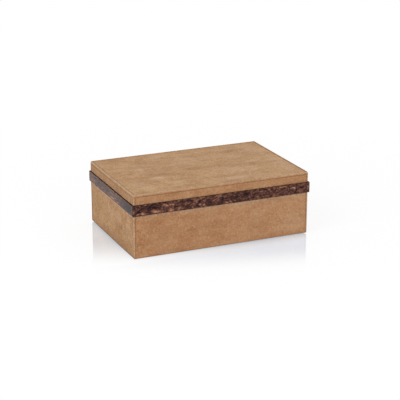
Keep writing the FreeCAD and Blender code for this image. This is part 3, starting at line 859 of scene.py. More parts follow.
def cut_felt():
    """The felt under the box, a rounded sheet with a soft cut edge."""
    low, high = span("base_underside_felt")
    x, y, away, along = plate_grid(high[0], high[1], FELT_CORNER, FELT_NEAR, FELT_STEP)
    fray = 1 - FRAY * np.exp(-away) * soft_waves(along, along * 0, WAVE_SEEDS["felt"], FRAY_LENGTH)
    heights = low[2] + edge_drop(away, FELT_ROUND)
    return close_plate("underside_felt_sheet", x * fray, y * fray, heights, high[2], {})


felt = cut_felt()

# %% [markdown]
# ## Stitches with Geometry Nodes
# Hundreds of equal stitches follow the channels. Copying one by hand would be slow and stiff, so a small node
# tree does it: it turns a line into a curve, divides it at the stitch pitch, and lays one stitch on every
# point, along the curve and square to the leather. A fixed seed makes each stitch a little different but the
# same in every run. The tree ends by making the copies real, because exports leave instances out.

# %% Draw the lines that the stitches follow
STITCH_SEAT = -0.2
SEAM_END = 1.5
BEHIND_BAND = 1.0
OFF_FACE = 9
CHANNEL_SPARE = 0.1
LINE_POINTS = 200
UP = np.array([0.0, 0.0, 1.0])
lines = {"base": [], "lid": []}


def add_line(body, points, normals, along):
    """Keeps a line for the stitches, with a point every half pitch and its stitches between the puckers."""
    order = np.argsort(along)
    points, normals, along = points[order], normals[order], along[order]
    first = math.ceil(along[0] / STITCH_PITCH) + 0.5
    last = math.floor(along[-1] / STITCH_PITCH) - 0.5
    places = np.arange(first, last + 0.25, 0.5) * STITCH_PITCH
    line = np.stack([np.interp(places, along, points[:, axis]) for axis in range(3)], axis=-1)
    out = np.stack([np.interp(places, along, normals[:, axis]) for axis in range(3)], axis=-1)
    lines[body].append((line + out * STITCH_SEAT, out))


def upright_lines(body, panels, low, high):
    """Lines up both ends of each wall panel."""
    for _, flat, steps, seen in panels.values():
        normal = outward(flat)
        rows = (seen[:, 0] < TINY) & (seen[:, 1] >= low) & (seen[:, 1] <= high)
        for end in (-1, 1):
            column = int(np.argmin(np.abs(steps - end * (steps[-1] - STITCH_INSET))))
            add_line(body, flat[rows, column], normal[rows, column], seen[rows, 1])


upright_lines("base", base_panels, BASE_LOW + SEAM_END, BASE_TOP - SEAM_END)
upright_lines("lid", lid_panels, BAND_TOP - BEHIND_BAND, LID_SEAM - STITCH_INSET)
for _, flat, steps, seen in lid_panels.values():
    row = int(np.argmin(np.abs(seen[:, 1] - (LID_SEAM - STITCH_INSET)) + seen[:, 0] * OFF_FACE))
    inside = np.abs(steps) <= steps[-1] - STITCH_INSET + CHANNEL_SPARE
    add_line("lid", flat[row, inside], outward(flat)[row, inside], steps[inside])
for axis in (0, 1):
    for way in (-1, 1):
        line = np.full((LINE_POINTS, 3), LID_TOP)
        run = np.linspace(STITCH_INSET - BOX[axis], BOX[axis] - STITCH_INSET, LINE_POINTS)
        line[:, axis] = run
        line[:, 1 - axis] = way * (BOX[1 - axis] - STITCH_INSET)
        add_line("lid", line, np.tile(UP, (LINE_POINTS, 1)), run)
print("lines", {body: len(found) for body, found in lines.items()})

# %% Make one stitch
THREAD_RADIUS = 0.24
THREAD_ENDS = 0.35
THREAD_TWIST = 0.35
THREAD_FLATNESS = 0.85
STITCH_LENGTH = 2.5
STITCH_ARCH = 0.2
STITCH_SUNK = 0.12
STITCH_RINGS = 7
STITCH_SIDES = 6


def loft(name, rings):
    """An object skinned over rings of points, which are given in millimetres, with both ends closed."""
    work = bmesh.new()
    rows = [[work.verts.new(point * TO_METRES) for point in ring] for ring in rings]
    for near, far in zip(rows, rows[1:]):
        for step in range(len(near)):
            after = (step + 1) % len(near)
            work.faces.new((near[step], near[after], far[after], far[step]))
    work.faces.new(rows[0])
    work.faces.new(rows[-1])
    bmesh.ops.recalc_face_normals(work, faces=work.faces)
    mesh = bpy.data.meshes.new(name)
    work.to_mesh(mesh)
    work.free()
    return add_object(name, mesh)


def one_stitch():
    """A short thread that rises out of the leather and dives back into it."""
    rings = []
    for ring in range(STITCH_RINGS):
        share = ring / (STITCH_RINGS - 1)
        arch = math.sin(math.pi * share)
        radius = THREAD_RADIUS * (THREAD_ENDS + (1 - THREAD_ENDS) * arch ** 0.5)
        centre = Vector(((share - 0.5) * STITCH_LENGTH, 0, STITCH_ARCH * arch - STITCH_SUNK))
        points = []
        for step in range(STITCH_SIDES):
            angle = 2 * math.pi * (step / STITCH_SIDES + share * THREAD_TWIST)
            offset = Vector((0, math.cos(angle) * radius, math.sin(angle) * radius * THREAD_FLATNESS))
            points.append(centre + offset)
        rings.append(points)
    stitch = loft("one_stitch", rings)
    stitch.data.shade_smooth()
    return stitch


stitch_source = one_stitch()
print("stitch faces", len(stitch_source.data.polygons))


# %% Helpers for nodes
def feed(node, inputs):
    """Fills a node's inputs. A value is either a constant or another node's output to link."""
    for name, value in inputs.items():
        if isinstance(value, bpy.types.NodeSocket):
            node.id_data.links.new(value, node.inputs[name])
        else:
            node.inputs[name].default_value = value


def add_node(tree, kind, inputs=None, **settings):
    """Adds a node, with its settings and its inputs."""
    made = tree.nodes.new(kind)
    for name, value in settings.items():
        setattr(made, name, value)
    feed(made, inputs or {})
    return made


def math_of(tree, operation, first, second=0.0):
    """One sum on two numbers."""
    return add_node(tree, "ShaderNodeMath", {0: first, 1: second}, operation=operation).outputs[0]


def random_number(tree, low, high, seed):
    """A number that is drawn anew for each point."""
    inputs = {2: low, 3: high, "Seed": seed}
    return add_node(tree, "FunctionNodeRandomValue", inputs, data_type="FLOAT").outputs[1]


print("node helpers:", feed.__name__, add_node.__name__, math_of.__name__, random_number.__name__)

# %% Build the tree that repeats a stitch
REPEAT_INPUTS = {"Source": "Object", "Pitch": "Float", "Seed": "Int", "Turn": "Float", "Size spread": "Float",
                 "Finish": "Material"}


def repeat_tree(name, on_curve):
    """Lays a source object on the points of a line, or on loose points, square to their normals.
    Returns the tree and the identifiers of its inputs, in the order of REPEAT_INPUTS."""
    tree = bpy.data.node_groups.new(name, "GeometryNodeTree")
    tree.interface.new_socket("Geometry", in_out="INPUT", socket_type="NodeSocketGeometry")
    identifiers = [
        tree.interface.new_socket(label, in_out="INPUT", socket_type="NodeSocket" + kind).identifier
        for label, kind in REPEAT_INPUTS.items()
    ]
    tree.interface.new_socket("Geometry", in_out="OUTPUT", socket_type="NodeSocketGeometry")
    given = add_node(tree, "NodeGroupInput").outputs
    points = given["Geometry"]
    if on_curve:
        curve = add_node(tree, "GeometryNodeMeshToCurve", {"Mesh": points}).outputs[0]
        spacing = {"Curve": curve, "Length": given["Pitch"]}
        points = add_node(tree, "GeometryNodeResampleCurve", spacing, mode="LENGTH").outputs[0]
        heading = add_node(tree, "GeometryNodeInputTangent").outputs[0]
    else:
        heading = add_node(tree, "FunctionNodeInputVector", vector=(1, 0, 0)).outputs[0]
    out = add_node(tree, "GeometryNodeInputNamedAttribute", {"Name": "out"},
                   data_type="FLOAT_VECTOR").outputs[0]
    face_out = add_node(tree, "FunctionNodeAlignRotationToVector", {"Vector": out}, axis="Z").outputs[0]
    lay_along = add_node(tree, "FunctionNodeAlignRotationToVector", {"Rotation": face_out, "Vector": heading},
                         axis="X", pivot_axis="Z").outputs[0]
    other_way = math_of(tree, "MULTIPLY", given["Turn"], -1.0)
    chance = random_number(tree, other_way, given["Turn"], given["Seed"])
    spin = add_node(tree, "ShaderNodeCombineXYZ", {"Z": chance}).outputs[0]
    turned = add_node(tree, "FunctionNodeRotateRotation", {"Rotation": lay_along, "Rotate By": spin},
                      rotation_space="LOCAL").outputs[0]
    smallest = math_of(tree, "SUBTRACT", 1.0, given["Size spread"])
    size = random_number(tree, smallest, 1.0, given["Seed"])
    source = add_node(tree, "GeometryNodeObjectInfo", {"Object": given["Source"], "As Instance": True})
    laid = add_node(tree, "GeometryNodeInstanceOnPoints", {
        "Points": points, "Instance": source.outputs["Geometry"], "Rotation": turned, "Scale": size,
    }).outputs[0]
    real = add_node(tree, "GeometryNodeRealizeInstances", {"Geometry": laid}).outputs[0]
    finish = add_node(tree, "GeometryNodeSetMaterial", {"Geometry": real, "Material": given["Finish"]})
    add_node(tree, "NodeGroupOutput", {"Geometry": finish.outputs[0]})
    print(name, "nodes", len(tree.nodes))
    return tree, identifiers


stitch_tree = repeat_tree("stitches along a seam", True)
screw_tree = repeat_tree("screws on points", False)

# %% [markdown]
# ## Finishes from nodes
# No picture is used: every colour and bump comes from noise. Suede is split leather with a raised nap, so it
# scatters light at its edges (sheen), has no gloss, and its colour drifts in soft clouds where the nap lies
# one way or the other. Numbers stored on the points say where the nap is pale, partly from wear and partly as
# a painted highlight on the ridges and painted light along the base's rim, where shade is painted into the
# seam channels and along the foot, and where the nap lies darker (dim) or lighter (lift); dim also carries
# shade painted over whole walls. The number tone leans a panel from the front's warm tan to an olive one.
# Above 1 it changes the hue no further and only makes the nap livelier.


# %% Helpers for colours and noise
def srgb(red, green, blue):
    """A colour as a screen shows it, turned into the linear numbers that shaders use."""
    shares = [part / 255 for part in (red, green, blue)]
    linear = [share / 12.92 if share <= 0.04045 else ((share + 0.055) / 1.055) ** 2.4 for share in shares]
    return (*linear, 1.0)


def bare_material(name):
    """A material with an empty tree."""
    material = bpy.data.materials.new(name)
    material.use_nodes = True
    material.node_tree.nodes.clear()
    return material, material.node_tree


def start_material(name):
    """A material with only a Principled shader."""
    material, tree = bare_material(name)
    shader = add_node(tree, "ShaderNodeBsdfPrincipled")
    add_node(tree, "ShaderNodeOutputMaterial", {"Surface": shader.outputs[0]})
    return material, tree, shader


def number(tree, name):
    """A number stored on the points of the mesh."""
    return add_node(tree, "ShaderNodeAttribute", attribute_name=name).outputs["Fac"]


def cloudy(tree, stretch, scale, detail=3.0, rough=0.55, twist=0.0, lot=0.0):
    """Noise between 0 and 1, stretched along some directions. Another lot gives another pattern."""
    place = add_node(tree, "ShaderNodeTexCoord").outputs["Object"]
    where = add_node(tree, "ShaderNodeMapping", {"Vector": place, "Scale": stretch}).outputs[0]
    inputs = {"Vector": where, "W": lot, "Scale": scale, "Detail": detail, "Roughness": rough,
              "Distortion": twist}
    return add_node(tree, "ShaderNodeTexNoise", inputs, noise_dimensions="4D").outputs[0]


def between(tree, value, low, high, to_low=0.0, to_high=1.0):
    """Spreads the part of a value between low and high, with soft ends."""
    inputs = {"Value": value, "From Min": low, "From Max": high, "To Min": to_low, "To Max": to_high}
    return add_node(tree, "ShaderNodeMapRange", inputs, interpolation_type="SMOOTHSTEP").outputs[0]


def times(tree, first, second):
    """The product of two numbers."""
    return math_of(tree, "MULTIPLY", first, second)


def blend_colours(tree, share, first, second, kind="MIX"):
    """Mixes two colours."""
    inputs = {0: share, 6: first, 7: second}
    return add_node(tree, "ShaderNodeMix", inputs, data_type="RGBA", blend_type=kind).outputs[2]


def bumped(tree, height, depth_mm, strength, under=None):
    """Tilts the surface by a height pattern."""
    inputs = {"Height": height, "Strength": strength, "Distance": depth_mm * TO_METRES}
    if under is not None:
        inputs["Normal"] = under
    return add_node(tree, "ShaderNodeBump", inputs).outputs[0]


print("tan in linear numbers", np.round(srgb(175, 124, 84), 3))

# %% Suede
EVEN = (1, 1, 1)
BRUSHED = (0.22, 1, 1)


def make_suede():
    """Tan suede with drifting nap, pale ridges that are partly wear and partly a painted highlight,
    painted light along the base's rim, and painted shade in the seam channels and along the foot.
    """
    material, tree, shader = start_material("tan suede")
    lot = number(tree, "lot")
    tone = number(tree, "tone")
    drift = cloudy(tree, EVEN, 22, 3.0, 0.6, 0.6, lot)
    patches = cloudy(tree, EVEN, 110, 5.0, 0.68, 0.5, lot)
    speckle = cloudy(tree, EVEN, 380, 3.0, 0.7, 0.3, lot)
    brushed = cloudy(tree, BRUSHED, 75, 5.0, 0.66, 0.4, lot)
    fibres = cloudy(tree, EVEN, 900, 3.0, 0.7, 0.0, lot)
    lively = math_of(tree, "ADD", times(tree, tone, 0.21), 0.48)
    patchy = math_of(tree, "ADD", times(tree, tone, 0.17), 0.4)
    broken = between(tree, patches, 0.36, 0.6, 0.45, 1.0)
    drifted = between(tree, drift, 0.32, 0.68)
    front_tan = blend_colours(tree, drifted, srgb(175, 124, 84), srgb(188, 142, 103))
    olive_tan = blend_colours(tree, drifted, srgb(169, 126, 82), srgb(186, 146, 102))
    colour = blend_colours(tree, tone, front_tan, olive_tan)
    # Each layer: where it lies, how strong it is and its colour. Later layers lie on the earlier ones.
    layers = [
        (between(tree, patches, 0.5, 0.7), patchy, srgb(204, 164, 126)),
        (between(tree, patches, 0.48, 0.28, 0.0, 0.76), patchy, srgb(148, 100, 62)),
        (between(tree, brushed, 0.5, 0.72), lively, srgb(206, 168, 130)),
        (between(tree, brushed, 0.48, 0.28), lively, srgb(150, 106, 68)),
        (between(tree, speckle, 0.5, 0.7), lively, srgb(216, 176, 138)),
        (between(tree, speckle, 0.48, 0.3), lively, srgb(134, 86, 52)),
        (between(tree, fibres, 0.52, 0.3), 0.3, srgb(120, 78, 48)),
        # dim holds darker nap clouds and shade painted over whole walls
        (number(tree, "dim"), broken, srgb(134, 88, 48)),
        (number(tree, "lift"), broken, srgb(206, 174, 144)),
        (number(tree, "foot"), 0.25, srgb(176, 104, 54)),
        # pale ridges, partly wear and partly a painted highlight, and painted light along the base's rim
        (number(tree, "wear_and_light"), between(tree, speckle, 0.38, 0.6, 0.25, 1.0), srgb(204, 178, 150)),
        # painted shade in the seam channels and along the foot
        (number(tree, "painted_shade"), 0.8, srgb(114, 76, 50)),
    ]
    for where, strength, tint in layers:
        colour = blend_colours(tree, times(tree, where, strength), colour, tint)
    feed(shader, {
        "Base Color": colour, "Roughness": between(tree, fibres, 0.3, 0.7, 0.86, 0.97),
        "Normal": bumped(tree, speckle, 0.35, 0.5, bumped(tree, patches, 0.5, 0.35)),
        "Specular IOR Level": 0.2, "Sheen Weight": 0.22, "Sheen Roughness": 0.45,
        "Sheen Tint": srgb(236, 220, 204),
    })
    return material


suede = make_suede()
print("suede nodes", len(suede.node_tree.nodes))

# %% [markdown]
# ## Polished horn
# Horn is nearly black in places and amber in others, with pale clouds, hair-thin growth lines and a glassy
# polish. Warped noise gives the growth lines. The clouds stored on the strips are added to it before the
# colours are chosen, so their edges look grown and not drawn. The polish is a low roughness that drifts a
# little. The narrow sawn edges are left dull and painted near black, partly as cut horn and partly as
# painted shade on the ledge where the band meets the lid wall.

# %% Horn
HORN_STRETCH = (0.6, 0.6, 1.2)
HORN_STOPS = [
    (0.33, srgb(25, 12, 14)), (0.42, srgb(49, 28, 27)), (0.50, srgb(84, 52, 44)), (0.56, srgb(112, 74, 60)),
    (0.62, srgb(148, 102, 80)), (0.71, srgb(188, 140, 111)), (0.82, srgb(228, 191, 158)),
]


def colour_ramp(tree, value, stops):
    """Turns a number into a colour: each stop is a place between 0 and 1 and its colour."""
    made = add_node(tree, "ShaderNodeValToRGB", {"Fac": value})
    ramp = made.color_ramp
    while len(ramp.elements) < len(stops):
        ramp.elements.new(0.5)
    for element, (place, colour) in zip(ramp.elements, stops):
        element.position = place
        element.color = colour
    return made.outputs["Color"]


def make_horn():
    """Dark mottled horn with amber and pale clouds, polished on its face."""
    material, tree, shader = start_material("polished horn")
    lot = number(tree, "lot")
    growth = cloudy(tree, HORN_STRETCH, 120, 6.0, 0.68, 2.8, lot)
    flecks = cloudy(tree, EVEN, 420, 4.0, 0.7, 1.4, lot)
    grain = math_of(tree, "ADD", times(tree, growth, 0.87), times(tree, flecks, 0.31))
    value = math_of(tree, "SUBTRACT", grain, 0.091)
    value = math_of(tree, "ADD", value, times(tree, number(tree, "pale"), 0.17))
    value = math_of(tree, "SUBTRACT", value, times(tree, number(tree, "dark"), 0.14))
    feed(shader, {
        "Base Color": colour_ramp(tree, value, HORN_STOPS), "Specular IOR Level": 0.085,
        "Roughness": between(tree, flecks, 0.3, 0.75, 0.14, 0.26), "Normal": bumped(tree, growth, 0.12, 0.3),
    })
    return material


def make_sawn_edge_and_shade():
    """The strips' narrow sawn faces, left dull and painted near black: partly the horn's dark cut edge and
    partly painted shade on the ledge where the band meets the lid wall.
    """
    material, tree, shader = start_material("sawn horn edge and painted shade")
    colour = blend_colours(tree, cloudy(tree, EVEN, 500, 3.0, 0.6, 0.5), srgb(24, 13, 13), srgb(48, 28, 24))
    feed(shader, {"Base Color": colour, "Specular IOR Level": 0.0, "Roughness": 0.95})
    return material


sawn_edge_and_shade = make_sawn_edge_and_shade()
horn = make_horn()
print("horn nodes", len(horn.node_tree.nodes))

# %% [markdown]
# ## The smaller finishes
# Thread, velveteen, felt, board, brass and steel are each a few nodes. Cloths get a short-fibre noise and
# sheen, metals a metallic shader whose roughness drifts, and the board fine chips.


# %% Cloths and thread
def make_cloth(name, dark, light, scale, bump_mm, sheen):
    """A short-piled cloth between two colours."""
    material, tree, shader = start_material(name)
    pile = cloudy(tree, EVEN, scale, 3.0, 0.65)
    drift = cloudy(tree, EVEN, scale / 40, 2.0, 0.5, 0.4)
    share = math_of(tree, "ADD", times(tree, pile, 0.6), times(tree, drift, 0.4))
    feed(shader, {
        "Base Color": blend_colours(tree, between(tree, share, 0.35, 0.65), dark, light),
        "Normal": bumped(tree, pile, bump_mm, 0.6), "Roughness": between(tree, pile, 0.3, 0.7, 0.85, 0.98),
        "Sheen Weight": sheen, "Sheen Roughness": 0.35, "Sheen Tint": srgb(214, 186, 164),
    })
    return material


velveteen = make_cloth("brown velveteen", srgb(58, 38, 28), srgb(84, 58, 42), 1500, 0.25, 0.35)
felt_cloth = make_cloth("dark felt", srgb(44, 36, 32), srgb(70, 60, 52), 900, 0.35, 0.15)
thread = make_cloth("waxed thread", srgb(136, 78, 50), srgb(158, 96, 64), 2600, 0.06, 0.05)
print("cloths", [cloth.name for cloth in (velveteen, felt_cloth, thread)])

# %% Board and metals
FLAT_CHIPS = (1, 1, 3)
TURNING = (0.08, 1, 1)


def make_board():
    """Pale pressed board with fine chips."""
    material, tree, shader = start_material("pressed board")
    chips = cloudy(tree, FLAT_CHIPS, 420, 4.0, 0.65, 0.3)
    share = between(tree, chips, 0.3, 0.7)
    feed(shader, {
        "Base Color": blend_colours(tree, share, srgb(150, 120, 86), srgb(186, 158, 120)),
        "Normal": bumped(tree, chips, 0.1, 0.4), "Roughness": between(tree, chips, 0.3, 0.7, 0.62, 0.8),
    })
    return material


def make_metal(name, deep, bright, smooth, dull, scale):
    """A metal whose shine drifts between smooth and dull, with fine turning lines."""
    material, tree, shader = start_material(name)
    drift = cloudy(tree, EVEN, scale, 3.0, 0.6, 0.3)
    turning = cloudy(tree, TURNING, 3200, 2.0, 0.5)
    feed(shader, {
        "Base Color": blend_colours(tree, between(tree, drift, 0.3, 0.7), deep, bright),
        "Roughness": between(tree, drift, 0.3, 0.7, smooth, dull),
        "Normal": bumped(tree, turning, 0.02, 0.35), "Metallic": 1.0,
    })
    return material


board = make_board()
brass = make_metal("aged brass", srgb(168, 124, 66), srgb(206, 166, 98), 0.24, 0.42, 160)
steel = make_metal("pin steel", srgb(150, 150, 152), srgb(186, 186, 188), 0.25, 0.4, 300)
for node_name, solid in nodes.items():
    if node_name.endswith("_pin"):
        finish = steel
    elif "leaf" in node_name or "screws" in node_name:
        finish = brass
    else:
        finish = board
    for place in solid.material_slots:
        place.material = finish
print("materials", len(bpy.data.materials))

# %% [markdown]
# ## Run the trees
# A modifier's inputs are set by their identifiers, before Blender first evaluates the object. The evaluated
# mesh is then copied to a plain one, and the modifier and its sources go, so that only finished pieces stay.

# %% Lay the stitches
STITCH_TURN = 0.09
STITCH_SPREAD = 0.12
STITCH_SEED = 7


def repeat_on(name, points, normals, edges, made_tree, *values):
    """Runs a tree on a mesh of bare points, each with the way out of the surface, and keeps the result."""
    tree, identifiers = made_tree
    mesh = bpy.data.meshes.new(name + "_points")
    mesh.from_pydata((np.array(points) * TO_METRES).tolist(), edges, [])
    layer = mesh.attributes.new("out", "FLOAT_VECTOR", "POINT")
    layer.data.foreach_set("vector", np.array(normals, np.float32).ravel())
    holder = add_object(name + "_points", mesh)
    modifier = holder.modifiers.new("repeat", "NODES")
    modifier.node_group = tree
    for identifier, value in zip(identifiers, values):
        modifier[identifier] = value
    holder.update_tag()
    graph = bpy.context.evaluated_depsgraph_get()
    finished = bpy.data.meshes.new_from_object(holder.evaluated_get(graph))
    finished.name = name
    bpy.data.objects.remove(holder)
    print(name, "faces", len(finished.polygons))
    return add_object(name, finished)


def sew(body):
    """All stitches of one body."""
    points, normals, edges = [], [], []
    for line, out in lines[body]:
        start = len(points)
        points.extend(line.tolist())
        normals.extend(out.tolist())
        edges.extend((start + step, start + step + 1) for step in range(len(line) - 1))
    return repeat_on(f"{body}_stitches", points, normals, edges, stitch_tree, stitch_source,
                     STITCH_PITCH * TO_METRES, STITCH_SEED, STITCH_TURN, STITCH_SPREAD, thread)


stitches = {body: sew(body) for body in lines}
bpy.data.objects.remove(stitch_source)

# %% Turn a slotted screw and drive it in
SCREW_SEED = 3
SCREW_SIDES = 20
SLOT_WIDTH = 0.45
SLOT_DEPTH = 0.4
SLOT_REACH = 1.2
SCREW_LOW, SCREW_HIGH = span("base_hinge_screws")
HEAD_RADIUS = (SCREW_HIGH[1] - SCREW_LOW[1]) / 2
HEAD_EDGE = 0.06
HEAD_DEEP = 0.8
SCREW_LONG = SCREW_HIGH[2] - SCREW_LOW[2]
SHANK_RADIUS = 0.9
PLAIN_SHANK = 2.6
THREAD_PITCH = 0.8
THREAD_CORE = 0.74
THREAD_DIP, THREAD_RISE, THREAD_CREST = 0.3, 0.55, 0.7
THREAD_STOP = 1.6
TIP_SHARE, TIP_RADIUS = 0.6, 0.12
SCREW_OFFSET = SCREW_HIGH[0] - HEAD_RADIUS - max(HINGE_PLACES)


def ring_at(radius, height):
    """Points on a level circle about the Z axis."""
    angles = [2 * math.pi * step / SCREW_SIDES for step in range(SCREW_SIDES)]
    return [Vector((radius * math.cos(angle), radius * math.sin(angle), height)) for angle in angles]


def one_screw():
    """A countersunk screw with its slotted head at the origin and its shank going down."""
    core, level = SHANK_RADIUS * THREAD_CORE, -PLAIN_SHANK
    profile = [(HEAD_RADIUS, 0.0), (HEAD_RADIUS, -HEAD_EDGE)]
    profile += [(SHANK_RADIUS, -HEAD_DEEP), (SHANK_RADIUS, level)]
    while level > THREAD_STOP - SCREW_LONG:
        profile += [(core, level - THREAD_DIP), (SHANK_RADIUS, level - THREAD_RISE),
                    (SHANK_RADIUS, level - THREAD_CREST)]
        level -= THREAD_PITCH
    profile += [(SHANK_RADIUS * TIP_SHARE, level - THREAD_DIP), (TIP_RADIUS, -SCREW_LONG)]
    screw = loft("one_screw", [ring_at(radius, height) for radius, height in profile])
    reach, wide = HEAD_RADIUS * SLOT_REACH, SLOT_WIDTH / 2
    corners = [(-reach, -wide), (reach, -wide), (reach, wide), (-reach, wide)]
    slot = [[Vector((*corner, height)) for corner in corners] for height in (-SLOT_DEPTH, SLOT_DEPTH)]
    cutter = loft("slot", slot)
    cut = screw.modifiers.new("slot", "BOOLEAN")
    cut.object = cutter
    cut.operation = "DIFFERENCE"
    cut.solver = "EXACT"
    graph = bpy.context.evaluated_depsgraph_get()
    slotted = bpy.data.meshes.new_from_object(screw.evaluated_get(graph))
    screw.modifiers.clear()
    screw.data = slotted
    bpy.data.objects.remove(cutter)
    return screw


def drive_screws(body):
    """The screws of one body, with their heads flush in the hinge leaves."""
    low, high = span(f"{body}_hinge_screws")
    level, way = (high[2], 1.0) if body == "base" else (low[2], -1.0)
    row = (low[1] + high[1]) / 2
    points = [(place + side * SCREW_OFFSET, row, level) for place in HINGE_PLACES for side in (-1, 1)]
    return repeat_on(f"{body}_slotted_screws", points, [(0.0, 0.0, way)] * len(points), [], screw_tree,
                     screw_source, 0.0, SCREW_SEED, math.pi / 2, 0.0, brass)


screw_source = one_screw()
screws = {body: drive_screws(body) for body in ("base", "lid")}
bpy.data.objects.remove(screw_source)

# %% [markdown]
# ## Hand every piece to its body
# Each piece goes to the body it moves with, and the solid it stands for is hidden. The size of each sheet is
# worked out, for the walls from the unrolled profile, but nothing keeps it.

# %% Finish and attach the pieces
SAWN_TILT = 0.8


def attach(piece, material, body, slot, *solids):
    """Gives a piece its finish and its place in the model."""
    piece.data.materials.clear()
    piece.data.materials.append(material)
    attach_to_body(piece, body)
    if solids:
        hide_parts(*solids)


def unrolled(profile):
    """Length of a profile laid flat."""
    return float(np.sum(np.linalg.norm(np.diff(profile, axis=0), axis=1)))


def declare_sheet(width, length):
    """Turns a sheet's width and length from millimetres into metres, and keeps nothing."""
    width, length = width * TO_METRES, length * TO_METRES


for body, panels in (("base", base_panels), ("lid", lid_panels)):
    for side, (piece, flat, steps, seen) in panels.items():
        attach(piece, suede, body, "suede", f"{body}_{side}_suede")
        declare_sheet(unrolled(seen), 2 * steps[-1])
attach(lid_top, suede, "lid", "suede", "lid_top_suede")
declare_sheet(2 * BOX[1], 2 * BOX[0])
for side, strip in strips.items():
    attach(strip, horn, "lid", "horn", f"band_{side}")
    # the flat top and bottom faces get the dull near-black finish, which also paints shade on the ledge
    strip.data.materials.append(sawn_edge_and_shade)
    for face in strip.data.polygons:
        face.material_index = 1 if abs(face.normal.z) > SAWN_TILT else 0
for (body, side), lining in linings.items():
    attach(lining, velveteen, body, "lining", f"{body}_{side}_lining")
    wide, deep, tall = np.subtract(*span(f"{body}_{side}_lining")[::-1])
    declare_sheet(tall, max(wide, deep))
for pad, body, solid in ((floor_pad, "base", "base_floor_pad"), (ceiling_pad, "lid", "lid_ceiling_pad")):
    attach(pad, velveteen, body, "lining", solid)
attach(felt, felt_cloth, "base", "felt", "base_underside_felt")
wide, deep, tall = np.subtract(*span("base_underside_felt")[::-1])
declare_sheet(deep, wide)
for body in ("base", "lid"):
    attach(screws[body], brass, body, "brass", f"{body}_hinge_screws")
    attach(stitches[body], thread, body, "suede")
print("pieces attached")

# %% [markdown]
# ## Floor and light
# The box stands on a white sweep under soft, even light. The world gives most of it, and two large lamps add
# a gentle direction. The floor that the camera sees is a sum: a dull part that keeps the shadow, a mirror
# part, and a glow that fills them up to white with a little to spare. The mirror has one tint beside the box
# and one in front of it, and each fades out toward the camera at its own distance. Far from the box only the
# glow is left, as on a lit table. The box itself is lit by a plain pale floor.

# %% Colour the floor's mirror
SIDE_MIRROR = (0.455, 0.405, 0.37, 1)
FRONT_MIRROR = (0.36, 0.265, 0.19, 1)
NO_MIRROR = (0, 0, 0, 1)
FADE_HEADING = (0.4024, 0.9155, 0)
SIDE_FADE = (-0.178, -0.058)
FRONT_FADE = (-0.205, -0.083)
FRONT_PLACES = (-0.125, -0.1)
FOOTPRINT_HALF = (BOX[0] * TO_METRES, BOX[1] * TO_METRES, 1.0)
FADE_AWAY = (0.05, 0.16)


def vector_of(tree, operation, output, *vectors):
    """One sum on vectors. The output is named, because some sums give a number."""
    made = add_node(tree, "ShaderNodeVectorMath", dict(enumerate(vectors)), operation=operation)
    return made.outputs[output]


def seen_directly(tree):
    """1 for what the camera, a mirror or glass shows, and 0 for the light that falls on things."""
    ray = add_node(tree, "ShaderNodeLightPath").outputs
    bent = math_of(tree, "MAXIMUM", ray["Is Glossy Ray"], ray["Is Transmission Ray"])
    return math_of(tree, "MAXIMUM", ray["Is Camera Ray"], bent)


def floor_mirror(tree, place):
    """Colour of the floor's mirror part at each place."""
    back_from_camera = vector_of(tree, "DOT_PRODUCT", "Value", place, FADE_HEADING)
    beyond = vector_of(tree, "SUBTRACT", 0, vector_of(tree, "ABSOLUTE", 0, place), FOOTPRINT_HALF)
    outside = vector_of(tree, "MAXIMUM", 0, beyond, (0, 0, 0))
    around = between(tree, vector_of(tree, "LENGTH", "Value", outside), *FADE_AWAY, 1.0, 0.0)
    depth = add_node(tree, "ShaderNodeSeparateXYZ", {0: place}).outputs["Y"]
    side = blend_colours(tree, between(tree, back_from_camera, *SIDE_FADE), NO_MIRROR, SIDE_MIRROR)
    front = blend_colours(tree, between(tree, back_from_camera, *FRONT_FADE), NO_MIRROR, FRONT_MIRROR)
    either = blend_colours(tree, between(tree, depth, *FRONT_PLACES), front, side)
    return blend_colours(tree, around, NO_MIRROR, either)


print("mirror fades beside the box over", SIDE_FADE, "and in front over", FRONT_FADE)

# %% Lay the floor
FLOOR_HALF_MM = 4000
FLOOR_UNDER_MM = 0.15
FLOOR_DULL = 0.15
FLOOR_SPARE_GLOW = 0.012
FLOOR_POLISH = 0.06
PLAIN_FLOOR = (0.8, 0.8, 0.8, 1)
TABLE_EDGES = (0.32, 0.8)


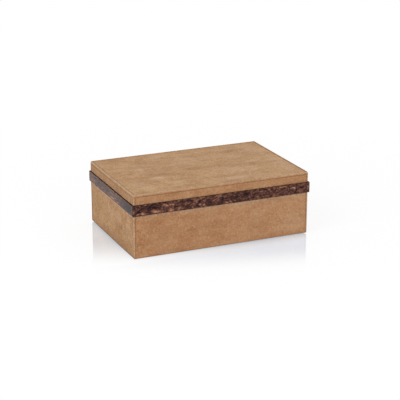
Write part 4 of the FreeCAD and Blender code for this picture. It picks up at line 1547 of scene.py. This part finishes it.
def make_floor():
    """A wide white floor just under the felt."""
    mesh = bpy.data.meshes.new("studio_floor")
    reach, level = FLOOR_HALF_MM * TO_METRES, -FLOOR_UNDER_MM * TO_METRES
    corners = [(-reach, -reach), (reach, -reach), (reach, reach), (-reach, reach)]
    mesh.from_pydata([(*corner, level) for corner in corners], [], [(0, 1, 2, 3)])
    material, tree = bare_material("white floor")
    place = add_node(tree, "ShaderNodeTexCoord").outputs["Object"]
    mirror_colour = floor_mirror(tree, place)
    full_glow = (1 - FLOOR_DULL + FLOOR_SPARE_GLOW,) * 3 + (1,)
    glow_colour = blend_colours(tree, 1.0, full_glow, mirror_colour, "SUBTRACT")
    dull = add_node(tree, "ShaderNodeBsdfDiffuse", {"Color": (FLOOR_DULL,) * 3 + (1,)}).outputs[0]
    polish = {"Color": mirror_colour, "Roughness": FLOOR_POLISH}
    mirror = add_node(tree, "ShaderNodeBsdfAnisotropic", polish).outputs[0]
    glow = add_node(tree, "ShaderNodeEmission", {"Color": glow_colour}).outputs[0]
    two = add_node(tree, "ShaderNodeAddShader", {0: dull, 1: mirror}).outputs[0]
    three = add_node(tree, "ShaderNodeAddShader", {0: two, 1: glow}).outputs[0]
    table = add_node(tree, "ShaderNodeEmission").outputs[0]
    near = between(tree, vector_of(tree, "LENGTH", "Value", place), *TABLE_EDGES, 1.0, 0.0)
    shown = add_node(tree, "ShaderNodeMixShader", {0: near, 1: table, 2: three}).outputs[0]
    plain = add_node(tree, "ShaderNodeBsdfDiffuse", {"Color": PLAIN_FLOOR}).outputs[0]
    both = add_node(tree, "ShaderNodeMixShader", {0: seen_directly(tree), 1: plain, 2: shown}).outputs[0]
    add_node(tree, "ShaderNodeOutputMaterial", {"Surface": both})
    mesh.materials.append(material)
    floor = add_object("studio_floor", mesh)
    print("floor nodes", len(tree.nodes))


make_floor()

# %% Set the light
WORLD_LEVEL = 0.72
LAMPS = [("key", (-2.2, -1.0, 1.7), 1.6, 26.0), ("fill", (0.9, -2.4, 1.3), 1.6, 9.0)]
AIM = Vector((0, 0, 0.05))

world = bpy.data.worlds.new("studio")
scene.world = world
world.use_nodes = True
sky = world.node_tree
sky.nodes.clear()
levels = {"Value": seen_directly(sky), "To Min": WORLD_LEVEL, "To Max": 1.0}
level = add_node(sky, "ShaderNodeMapRange", levels).outputs[0]
backdrop = add_node(sky, "ShaderNodeBackground", {"Color": (1.0, 1.0, 1.0, 1.0), "Strength": level})
add_node(sky, "ShaderNodeOutputWorld", {"Surface": backdrop.outputs[0]})
for name, place, size, power in LAMPS:
    lamp = bpy.data.lights.new(name, "AREA")
    lamp.size = size
    lamp.energy = power
    holder = add_object(name, lamp)
    holder.location = place
    holder.rotation_euler = (AIM - Vector(place)).to_track_quat("-Z", "Y").to_euler()
scene.view_settings.view_transform = "Standard"
print("lamps", len(LAMPS))
